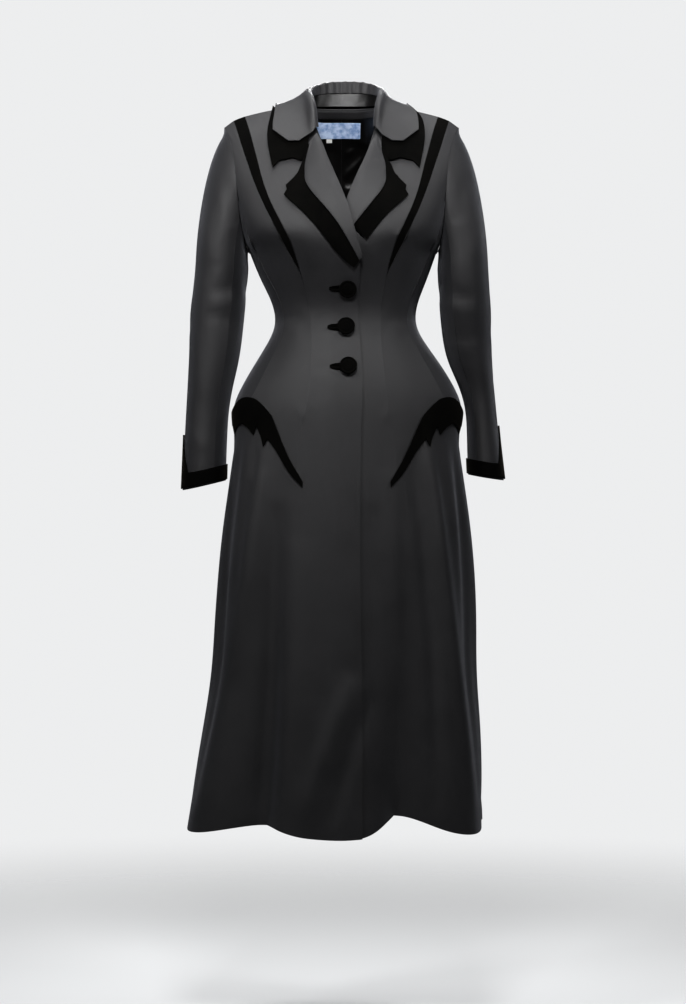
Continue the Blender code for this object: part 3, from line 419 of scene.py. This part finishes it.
def effect(name, sockets_in, sockets_out):
    """An empty node group with named sockets."""
    group = bpy.data.node_groups.new(name, "ShaderNodeTree")
    for label, kind, value in sockets_in:
        socket = group.interface.new_socket(label, in_out="INPUT", socket_type=kind)
        if value is not None:
            socket.default_value = value
    for label, kind in sockets_out:
        group.interface.new_socket(label, in_out="OUTPUT", socket_type=kind)
    return group, group.nodes.new("NodeGroupInput"), group.nodes.new("NodeGroupOutput")


def sum_of(group, kind, a, b, clamp=False):
    """A Math node on two links or numbers."""
    node = group.nodes.new("ShaderNodeMath")
    node.operation = kind
    node.use_clamp = clamp
    for slot, value in zip(node.inputs, (a, b)):
        if hasattr(value, "node"):
            group.links.new(value, slot)
        elif value is not None:
            slot.default_value = value
    return node.outputs[0]


# Twill: fine diagonal ribs, each crossed by the yarns, on the flat cut of the piece.
twill, given, made = effect("twill", (
    ("Cut", "NodeSocketVector", None),
    ("Ribs per metre", "NodeSocketFloat", 1150.0),
    ("Cross", "NodeSocketFloat", 0.35),
), (("Height", "NodeSocketFloat"), ("Rib", "NodeSocketFloat")))
parts = twill.nodes.new("ShaderNodeSeparateXYZ")
twill.links.new(given.outputs["Cut"], parts.inputs[0])
wander = twill.nodes.new("ShaderNodeTexNoise")
wander.inputs["Scale"].default_value = 60.0
wander.inputs["Detail"].default_value = 2.0
twill.links.new(given.outputs["Cut"], wander.inputs["Vector"])
bent = sum_of(twill, "MULTIPLY", wander.outputs["Fac"], 0.0016)
slant = sum_of(twill, "ADD", sum_of(twill, "MULTIPLY", parts.outputs[0], 0.88),
               sum_of(twill, "MULTIPLY", parts.outputs[1], 0.47))
slant = sum_of(twill, "ADD", slant, bent)
turns = sum_of(twill, "MULTIPLY", sum_of(twill, "MULTIPLY", slant, given.outputs[1]), 6.2832)
rib = sum_of(twill, "MULTIPLY", sum_of(twill, "SINE", turns, None), 0.5)
rib = sum_of(twill, "ADD", rib, 0.5)
cross = sum_of(twill, "MULTIPLY", sum_of(twill, "MULTIPLY", parts.outputs[1],
                                         given.outputs[1]), 6.2832)
yarn = sum_of(twill, "MULTIPLY", sum_of(twill, "SINE", cross, None), given.outputs["Cross"])
twill.links.new(sum_of(twill, "ADD", rib, sum_of(twill, "MULTIPLY", yarn, 0.5)),
                made.inputs["Height"])
twill.links.new(rib, made.inputs["Rib"])

# Nap: the slow shading of brushed or worn cloth, and loose fibre ends on it.
nap, given, made = effect("nap", (
    ("Place", "NodeSocketVector", None),
    ("Patch scale", "NodeSocketFloat", 14.0),
    ("Fibre scale", "NodeSocketFloat", 900.0),
), (("Patches", "NodeSocketFloat"), ("Fibres", "NodeSocketFloat")))
patch = nap.nodes.new("ShaderNodeTexNoise")
patch.inputs["Detail"].default_value = 4.0
patch.inputs["Roughness"].default_value = 0.6
fibre = nap.nodes.new("ShaderNodeTexNoise")
fibre.inputs["Detail"].default_value = 3.0
fibre.inputs["Roughness"].default_value = 0.75
nap.links.new(given.outputs["Place"], patch.inputs["Vector"])
nap.links.new(given.outputs["Place"], fibre.inputs["Vector"])
nap.links.new(given.outputs["Patch scale"], patch.inputs["Scale"])
nap.links.new(given.outputs["Fibre scale"], fibre.inputs["Scale"])
nap.links.new(patch.outputs["Fac"], made.inputs["Patches"])
nap.links.new(fibre.outputs["Fac"], made.inputs["Fibres"])


def placed(tree, group, **links):
    """A node group in a material, with links or numbers on its inputs."""
    node = tree.nodes.new("ShaderNodeGroup")
    node.node_tree = group
    for label, value in links.items():
        slot = node.inputs[label.replace("_", " ")]
        if hasattr(value, "node"):
            tree.links.new(value, slot)
        else:
            slot.default_value = value
    return node


def mixed(tree, share, low, high):
    """A colour between two colours."""
    node = tree.nodes.new("ShaderNodeMix")
    node.data_type = "RGBA"
    tree.links.new(share, node.inputs[0])
    node.inputs[6].default_value = low
    node.inputs[7].default_value = high
    return node.outputs[2]


def ranged(tree, value, low, high, to_low, to_high):
    """A value carried from one range to another."""
    node = tree.nodes.new("ShaderNodeMapRange")
    node.inputs["From Min"].default_value = low
    node.inputs["From Max"].default_value = high
    node.inputs["To Min"].default_value = to_low
    node.inputs["To Max"].default_value = to_high
    tree.links.new(value, node.inputs["Value"])
    return node.outputs["Result"]


def bumped(tree, shader, heights):
    """Bump nodes in a chain: rows of heights are (link, depth in metres)."""
    last = None
    for height, depth in heights:
        bump = tree.nodes.new("ShaderNodeBump")
        bump.inputs["Distance"].default_value = depth
        tree.links.new(height, bump.inputs["Height"])
        if last:
            tree.links.new(last.outputs["Normal"], bump.inputs["Normal"])
        last = bump
    tree.links.new(last.outputs["Normal"], shader.inputs["Normal"])


def wool_cloth(name, low, high, ribs):
    """Fine wool twill: dark ribs, soft patches, a faint satin lustre."""
    cloth = bpy.data.materials.new(name)
    cloth.use_nodes = True
    tree = cloth.node_tree
    shader = tree.nodes["Principled BSDF"]
    shader.inputs["Specular IOR Level"].default_value = 0.42
    shader.inputs["Sheen Weight"].default_value = 0.16
    shader.inputs["Sheen Roughness"].default_value = 0.42
    shader.inputs["Sheen Tint"].default_value = (0.80, 0.82, 0.90, 1)
    cut = tree.nodes.new("ShaderNodeUVMap")
    spot = tree.nodes.new("ShaderNodeTexCoord")
    weave = placed(tree, twill, Cut=cut.outputs["UV"], Ribs_per_metre=ribs)
    soft = placed(tree, nap, Place=spot.outputs["Object"])
    body = mixed(tree, soft.outputs["Patches"], low, high)
    fleck = ranged(tree, soft.outputs["Fibres"], 0.35, 0.7, 0.86, 1.16)
    rib_tone = ranged(tree, weave.outputs["Rib"], 0.0, 1.0, 0.84, 1.1)
    tone = sum_of(tree, "MULTIPLY", fleck, rib_tone)
    tinted = tree.nodes.new("ShaderNodeVectorMath")
    tinted.operation = "SCALE"
    tree.links.new(body, tinted.inputs[0])
    tree.links.new(tone, tinted.inputs["Scale"])
    tree.links.new(tinted.outputs[0], shader.inputs["Base Color"])
    tree.links.new(ranged(tree, soft.outputs["Patches"], 0.3, 0.7, 0.50, 0.60),
                   shader.inputs["Roughness"])
    bumped(tree, shader, ((weave.outputs["Height"], 0.00010),
                          (soft.outputs["Fibres"], 0.00012)))
    return cloth


wool = wool_cloth("coat_wool", WOOL_COLOUR, WOOL_HIGH, 1150.0)


def wool_panel(node, levels=2, folds=body_folds, seam=0.006, inside=False):
    """A panel of the coat's wool in its packed place, with its folds and its thickness."""
    piece, cut = smoothed(panel_face(node, inside), node + "_cloth", levels)
    if inside:
        piece.data.flip_normals()
    moved_out(piece, folds)
    if seam:
        turned_in(piece, seam)
    wall_of(piece, WOOL_THICK, 0.0006)
    piece.data.materials.clear()
    piece.data.materials.append(wool)
    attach(piece, "root")
    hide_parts(node)
    width, length, area = cut
    min(area, width * length)
    return piece


for name in ("right", "left"):
    wool_panel("front_" + name)
    wool_panel("back_" + name)
    wool_panel("side_front_" + name)
    wool_panel("side_" + name)


# ---------------------------------------------------------------- sleeves
# Two-piece wool sleeves, set in at the armhole, with creases at the elbow, the armpit
# and above the cuff where the arm would bend.
# face, width and height, and the line as (across, up) in millimetres, on each sleeve
SLEEVE_FOLDS = {
    "right": (
        ("front", 12, -1.8, ((-216, -120), (-206, -160), (-200, -214))),
        ("front", 13, 1.6, ((-262, -180), (-246, -230), (-232, -280))),
        ("front", 11, -2.0, ((-178, -300), (-205, -322), (-238, -330))),
        ("front", 10, 1.8, ((-180, -330), (-208, -346), (-246, -350))),
        ("front", 10, -1.6, ((-186, -372), (-212, -376), (-252, -366))),
        ("front", 14, 1.4, ((-272, -390), (-262, -450), (-250, -520))),
        ("front", 12, -1.3, ((-204, -450), (-216, -520), (-232, -600))),
        ("front", 10, 1.2, ((-280, -570), (-262, -590), (-236, -600))),
        ("left", 12, -2.0, ((-30, -290), (-4, -320), (30, -330))),
        ("right", 14, 1.8, ((-20, -330), (10, -390), (24, -470))),
        ("right", 12, -1.6, ((30, -300), (20, -350), (4, -400))),
        ("back", 14, 1.8, ((-250, -300), (-226, -340), (-204, -360))),
        ("back", 12, -1.6, ((-262, -360), (-236, -385), (-206, -392))),
        ("back", 14, -1.2, ((-216, -130), (-226, -190), (-240, -250))),
    ),
    "left": (
        ("front", 12, -1.8, ((212, -118), (204, -158), (196, -210))),
        ("front", 14, 1.5, ((252, -170), (240, -226), (224, -270))),
        ("front", 11, -1.9, ((166, -310), (196, -334), (228, -338))),
        ("front", 11, 1.9, ((168, -344), (200, -360), (238, -358))),
        ("front", 12, -1.7, ((180, -400), (208, -410), (244, -396))),
        ("front", 16, -1.5, ((214, -430), (226, -470), (244, -520))),
        ("front", 13, 1.3, ((196, -470), (212, -540), (226, -610))),
        ("right", 12, -2.0, ((-20, -300), (4, -326), (36, -334))),
        ("left", 14, 1.8, ((-4, -330), (20, -390), (34, -480))),
        ("left", 12, -1.5, ((44, -310), (32, -360), (14, -410))),
        ("back", 13, 1.7, ((240, -300), (216, -338), (194, -352))),
        ("back", 12, -1.5, ((250, -362), (224, -388), (196, -396))),
        ("back", 14, -1.1, ((206, -126), (216, -186), (230, -246))),
    ),
}


def sleeve_folds(name):
    """Height of one sleeve's folds."""
    def height(place, out):
        high_of = np.zeros(len(place))
        for face, width, high, line in SLEEVE_FOLDS[name]:
            across, facing, sign = FACES[face]
            turned = np.clip(out[:, facing] * sign * 2.2 - 0.25, 0.0, 1.0)
            fold = soft_fold(place[:, across], place[:, 2], line, width)
            high_of += fold * turned * high * 0.001
        uneven = [noise.noise(Vector((x * 11.0, y * 11.0, z * 7.0))) for x, y, z in place]
        return high_of + np.array(uneven) * 0.0008
    return height


for name in ("right", "left"):
    wool_panel("sleeve_upper_" + name, folds=sleeve_folds(name))
    wool_panel("sleeve_under_" + name, folds=sleeve_folds(name))


# ---------------------------------------------------------------- collar and lapels
# A wool collar that folds over a satin stand, and wool lapels. Under each lies a larger
# velvet layer that shows as a dark border with a curved notch between them.
# across and up of the small gathers inside the collar's back, and how deep each is
GATHERS = (
    (-46, 34, -1.5), (-38, 40, 1.4), (-31, 37, -1.7), (-24, 43, 1.1), (-17, 38, -1.2),
    (-1, 41, 1.3), (7, 36, -1.6), (15, 42, 1.0), (22, 38, -1.3), (31, 41, 1.5),
    (38, 35, -1.4), (45, 39, 1.0),
)


def collar_folds(place, out):
    """The gathers inside the back of the collar, and its centre seam."""
    height = np.zeros(len(place))
    inner = np.clip(-out[:, 1] * 2.0, 0.0, 1.0) * np.clip((place[:, 1] - 0.02) * 60.0, 0, 1)
    for x, low, high in GATHERS:
        line = ((x * 1.05, 66), (x, (66 + low) / 2), (x * 0.94, low - 14))
        height += soft_fold(place[:, 0], place[:, 2], line, 3.6) * inner * high * 0.001
    seam = ((-9, 70), (-9, 40), (-9, 20))
    height += soft_fold(place[:, 0], place[:, 2], seam, 2.4) * inner * -0.0016
    uneven = [noise.noise(Vector((x * 14.0, y * 14.0, z * 14.0))) for x, y, z in place]
    return height + np.array(uneven) * 0.0006


def facing_folds(place, out):
    """A slight unevenness in the neck facing."""
    uneven = [noise.noise(Vector((x * 20.0, y * 20.0, z * 30.0))) for x, y, z in place]
    return np.array(uneven) * 0.0006


wool_panel("collar_top", levels=3, folds=collar_folds, seam=0)
wool_panel("lapel_top_right", folds=body_folds, seam=0)
wool_panel("lapel_top_left", folds=body_folds, seam=0)
wool_panel("neck_facing", folds=facing_folds, seam=0,
           inside=True)


# ---------------------------------------------------------------- velvet pieces
# Black cotton velvet with a short dense pile: the inset strips, the toothed hip
# crescents, the cuffs, and the under layers of the collar and lapels.
VELVET_THICK = 0.0014


def velvet_cloth():
    """Velvet: almost black, with a faint warm light where the pile leans to the lamp."""
    cloth = bpy.data.materials.new("coat_velvet")
    cloth.use_nodes = True
    tree = cloth.node_tree
    shader = tree.nodes["Principled BSDF"]
    shader.inputs["Specular IOR Level"].default_value = 0.06
    shader.inputs["Sheen Weight"].default_value = 0.05
    shader.inputs["Sheen Roughness"].default_value = 0.30
    shader.inputs["Sheen Tint"].default_value = (0.62, 0.56, 0.46, 1)
    spot = tree.nodes.new("ShaderNodeTexCoord")
    pile = placed(tree, nap, Place=spot.outputs["Object"], Patch_scale=38.0, Fibre_scale=1500.0)
    lean = placed(tree, nap, Place=spot.outputs["Object"], Patch_scale=9.0, Fibre_scale=240.0)
    share = sum_of(tree, "MULTIPLY", pile.outputs["Patches"], lean.outputs["Patches"])
    tree.links.new(mixed(tree, ranged(tree, share, 0.12, 0.42, 0.0, 1.0),
                         (0.0005, 0.0005, 0.0004, 1), (0.0020, 0.0018, 0.0014, 1)),
                   shader.inputs["Base Color"])
    tree.links.new(ranged(tree, pile.outputs["Fibres"], 0.3, 0.7, 0.80, 0.98),
                   shader.inputs["Roughness"])
    bumped(tree, shader, ((pile.outputs["Fibres"], 0.00035),
                          (lean.outputs["Fibres"], 0.00050)))
    return cloth


velvet = velvet_cloth()


def meets_lapels(piece):
    """Draws the collar velvet's ends on, under the lapel velvet, so that they meet in one
    curved notch."""
    mesh = bmesh.new()
    mesh.from_mesh(piece.data)
    rims, away = rim_ways(mesh)
    for vert, side in away.items():
        inwards = -side.x * math.copysign(1.0, vert.co.x)
        if vert.co.y < -0.03 and side.z < -0.2:
            share = min(max(inwards * 2.2, 0.0), 1.0)
            share *= min(max((0.0865 - abs(vert.co.x)) / 0.005, 0.0), 1.0)
            vert.co += (side * 0.0058 - vert.normal * 0.0008) * share
    mesh.to_mesh(piece.data)
    mesh.free()


def velvet_piece(node, levels=2, folds=body_folds, flat=None, seam=0.0):
    """A piece of velvet in its packed place, with thick rounded edges."""
    piece, cut = smoothed(panel_face(node), node + "_pile", levels, unwrap=flat is None)
    moved_out(piece, folds)
    if node == "collar_under":
        meets_lapels(piece)
    if seam:
        turned_in(piece, seam)
    wall_of(piece, VELVET_THICK, 0.00065)
    piece.data.materials.clear()
    piece.data.materials.append(velvet)
    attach(piece, "root")
    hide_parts(node)
    width, length, area = flat or cut
    min(area, width * length)
    return piece


for name in ("right", "left"):
    velvet_piece("shoulder_velvet_" + name, seam=0.006)
    velvet_piece("hip_velvet_" + name, levels=3)
    velvet_piece("cuff_velvet_" + name,
                 folds=sleeve_folds(name), flat=(0.30, 0.075, 0.0125))
    velvet_piece("lapel_velvet_" + name)
velvet_piece("collar_under", levels=3)


# ---------------------------------------------------------------- satin in the neck
# Black satin: the stand inside the collar and the two halves of the back lining, which
# hangs in loose shiny folds on the wearer's left.
SATIN_THICK = 0.0008
# width and height, and the line as (across, up) in millimetres, on the lining's face
LINING_FOLDS = (
    (5.0, 3.4, ((22, -44), (33, -50), (46, -60))),
    (4.5, 3.2, ((-2, -70), (6, -66), (16, -62))),
    (5.0, 4.2, ((-4, -112), (10, -96), (24, -80), (42, -70))),
    (6.0, -3.4, ((-2, -88), (12, -78), (30, -66))),
    (5.0, 3.0, ((-4, -134), (8, -130), (26, -122))),
    (6.0, -2.6, ((0, -124), (16, -112), (34, -96))),
    (7.0, 2.2, ((-28, -66), (-24, -100), (-30, -140))),
    (6.0, -2.0, ((-44, -60), (-40, -100), (-46, -150))),
    (5.0, 1.6, ((-60, -120), (-36, -126), (-14, -124))),
    (8.0, -2.4, ((8, -150), (18, -168), (34, -190))),
    (7.0, 2.4, ((-20, -160), (-34, -180), (-50, -200))),
)


def lining_folds(place, out):
    """Height of the loose folds in the lining, towards the neck."""
    height = np.zeros(len(place))
    for width, high, line in LINING_FOLDS:
        height += soft_fold(place[:, 0], place[:, 2], line, width) * high * 0.001
    return np.clip(height, -0.0005, 0.006)


def satin_cloth():
    """Lining satin: smooth and shiny, with fine lines along the yarn."""
    cloth = bpy.data.materials.new("coat_satin")
    cloth.use_nodes = True
    tree = cloth.node_tree
    shader = tree.nodes["Principled BSDF"]
    shader.inputs["Specular IOR Level"].default_value = 0.32
    shader.inputs["Anisotropic"].default_value = 0.35
    cut = tree.nodes.new("ShaderNodeUVMap")
    spot = tree.nodes.new("ShaderNodeTexCoord")
    yarn = placed(tree, twill, Cut=cut.outputs["UV"], Ribs_per_metre=2600.0, Cross=0.15)
    soft = placed(tree, nap, Place=spot.outputs["Object"], Patch_scale=30.0, Fibre_scale=700.0)
    tree.links.new(mixed(tree, soft.outputs["Patches"], (0.0020, 0.0020, 0.0020, 1),
                         (0.0050, 0.0045, 0.0045, 1)), shader.inputs["Base Color"])
    tree.links.new(ranged(tree, soft.outputs["Patches"], 0.3, 0.7, 0.27, 0.38),
                   shader.inputs["Roughness"])
    bumped(tree, shader, ((yarn.outputs["Height"], 0.00003),
                          (soft.outputs["Patches"], 0.00060)))
    return cloth


satin = satin_cloth()


def satin_piece(node, inside, folds):
    """A piece of satin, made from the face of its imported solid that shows."""
    piece, cut = smoothed(panel_face(node, inside), node + "_satin", 3)
    if inside:
        piece.data.flip_normals()
    moved_out(piece, folds)
    turned_in(piece, 0.0025)
    wall_of(piece, SATIN_THICK, 0.0003)
    piece.data.materials.clear()
    piece.data.materials.append(satin)
    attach(piece, "root")
    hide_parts(node)
    width, length, area = cut
    min(area, width * length)
    return piece


def stand_folds(place, out):
    """A slight unevenness in the stand."""
    uneven = [noise.noise(Vector((x * 30.0, y * 30.0, z * 50.0))) for x, y, z in place]
    return np.array(uneven) * 0.0009


satin_piece("collar_stand", True, stand_folds)
satin_piece("back_lining_right", True, lining_folds)
satin_piece("back_lining_left", True, lining_folds)


# ---------------------------------------------------------------- label and size tab
# A blank blue woven ribbon sewn under the neck facing, and a blank white tab below it.
def ribbon_cloth(name, low, high, roughness):
    """Woven ribbon: fine ribs across, and a cloudy mottling with no figure in it."""
    cloth = bpy.data.materials.new(name)
    cloth.use_nodes = True
    tree = cloth.node_tree
    shader = tree.nodes["Principled BSDF"]
    shader.inputs["Specular IOR Level"].default_value = 0.4
    cut = tree.nodes.new("ShaderNodeUVMap")
    spot = tree.nodes.new("ShaderNodeTexCoord")
    yarn = placed(tree, twill, Cut=cut.outputs["UV"], Ribs_per_metre=1700.0, Cross=0.8)
    cloud = placed(tree, nap, Place=spot.outputs["Object"], Patch_scale=95.0, Fibre_scale=900.0)
    share = ranged(tree, cloud.outputs["Patches"], 0.38, 0.62, 0.0, 1.0)
    tree.links.new(mixed(tree, share, low, high), shader.inputs["Base Color"])
    tree.links.new(ranged(tree, yarn.outputs["Rib"], 0.0, 1.0, roughness, roughness + 0.15),
                   shader.inputs["Roughness"])
    bumped(tree, shader, ((yarn.outputs["Height"], 0.00008),))
    return cloth


def label_folds(place, out):
    """A ribbon's slight waviness."""
    return np.array([noise.noise(Vector((x * 25.0, 0.0, z * 25.0))) for x, y, z in place]) * 0.0008


for node, slot, low, high in (
    ("size_tab", "size_tab", (0.62, 0.62, 0.60, 1), (0.80, 0.80, 0.78, 1)),
    ("label", "label", (0.20, 0.30, 0.52, 1), (0.50, 0.60, 0.78, 1)),
):
    piece, cut = smoothed(panel_face(node, inside=True), node + "_ribbon", 3)
    piece.data.flip_normals()
    moved_out(piece, label_folds)
    wall_of(piece, 0.0007, 0.0002)
    piece.data.materials.clear()
    piece.data.materials.append(ribbon_cloth(node + "_weave", low, high, 0.5))
    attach(piece, "root")
    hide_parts(node)
width, length, area = cut
min(area, width * length)


# ---------------------------------------------------------------- buttons and buttonholes
# Metal buttons covered in the coat's velvet, with a raised rim and a small ring in the
# middle, on a thread shank. Each has a buttonhole bound in velvet.
# radius and height of a button's outline, as shares of its radius
BUTTON_OUTLINE = (
    (0.0, 0.40), (0.10, 0.40), (0.17, 0.43), (0.22, 0.39), (0.34, 0.41), (0.52, 0.40),
    (0.66, 0.345), (0.74, 0.325), (0.80, 0.36), (0.88, 0.385), (0.955, 0.35),
    (1.0, 0.27), (0.985, 0.19), (0.93, 0.14), (0.80, 0.12), (0.22, 0.12), (0.20, 0.0),
    (0.0, 0.0),
)


def button_place(node):
    """A packed button's middle, the direction it faces and its radius."""
    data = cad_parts[node].data
    points = np.array([v.co for v in data.vertices])
    low, high = points.min(0), points.max(0)
    middle = (low + high) / 2
    axis = np.linalg.svd(points - points.mean(0))[2][2]
    if axis[1] > 0:
        axis = -axis
    rise = (points - middle) @ axis
    radius = np.linalg.norm(points - middle - np.outer(rise, axis), axis=1).max()
    return Vector(middle + axis * rise.min()), Vector(axis), float(radius)


for number in (1, 2, 3):
    node = f"button_{number}"
    base, axis, radius = button_place(node)
    bm = bmesh.new()
    last = None
    for r, h in BUTTON_OUTLINE:
        vert = bm.verts.new((r * radius, 0.0, h * radius))
        if last:
            bm.edges.new((last, vert))
        last = vert
    bmesh.ops.spin(bm, geom=bm.verts[:] + bm.edges[:], axis=(0, 0, 1), cent=(0, 0, 0),
                   angle=math.tau, steps=64, use_merge=True)
    bmesh.ops.remove_doubles(bm, verts=bm.verts, dist=0.000005)
    for vert in bm.verts:
        ring = math.hypot(vert.co.x, vert.co.y) / radius
        way = math.atan2(vert.co.y, vert.co.x)
        pull = math.sin(way * 17 + number * 2.1) + 0.6 * math.sin(way * 29 + number)
        if 0.5 < ring < 1.01:
            vert.co.z += pull * 0.00010 * (ring - 0.5)
    bmesh.ops.recalc_face_normals(bm, faces=bm.faces[:])
    turn = axis.to_track_quat("Z", "Y").to_matrix().to_4x4()
    bmesh.ops.transform(bm, matrix=turn, verts=bm.verts)
    bmesh.ops.translate(bm, verts=bm.verts, vec=base)
    data = bpy.data.meshes.new(node + "_covered")
    bm.to_mesh(data)
    bm.free()
    data.polygons.foreach_set("use_smooth", [True] * len(data.polygons))
    piece = bpy.data.objects.new(node + "_covered", data)
    scene.collection.objects.link(piece)
    finer = piece.modifiers.new("finer", "SUBSURF")
    finer.levels = finer.render_levels = 1
    data.materials.append(velvet)
    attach(piece, "root")
    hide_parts(node)

    hole = f"buttonhole_{number}"
    low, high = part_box(hole)
    middle = (low.z + high.z) / 2
    left_end = low.x

    def welts(place, out):
        """Two padded lips with a slit between them, under the button's edge."""
        away = np.abs(place[:, 2] - middle)
        lip = np.exp(-((away - 0.0034) / 0.0020) ** 2) * 0.0010
        slit = np.exp(-(away / 0.0009) ** 2) * -0.0009
        along = np.clip((place[:, 0] - left_end) / 0.006, 0.0, 1.0)
        return (lip + slit) * along

    velvet_piece(hole, levels=3, folds=welts,
                 flat=(0.037, 0.018, 0.00052))


scene.view_settings.view_transform = "Standard"
scene.view_settings.look = "Medium High Contrast"
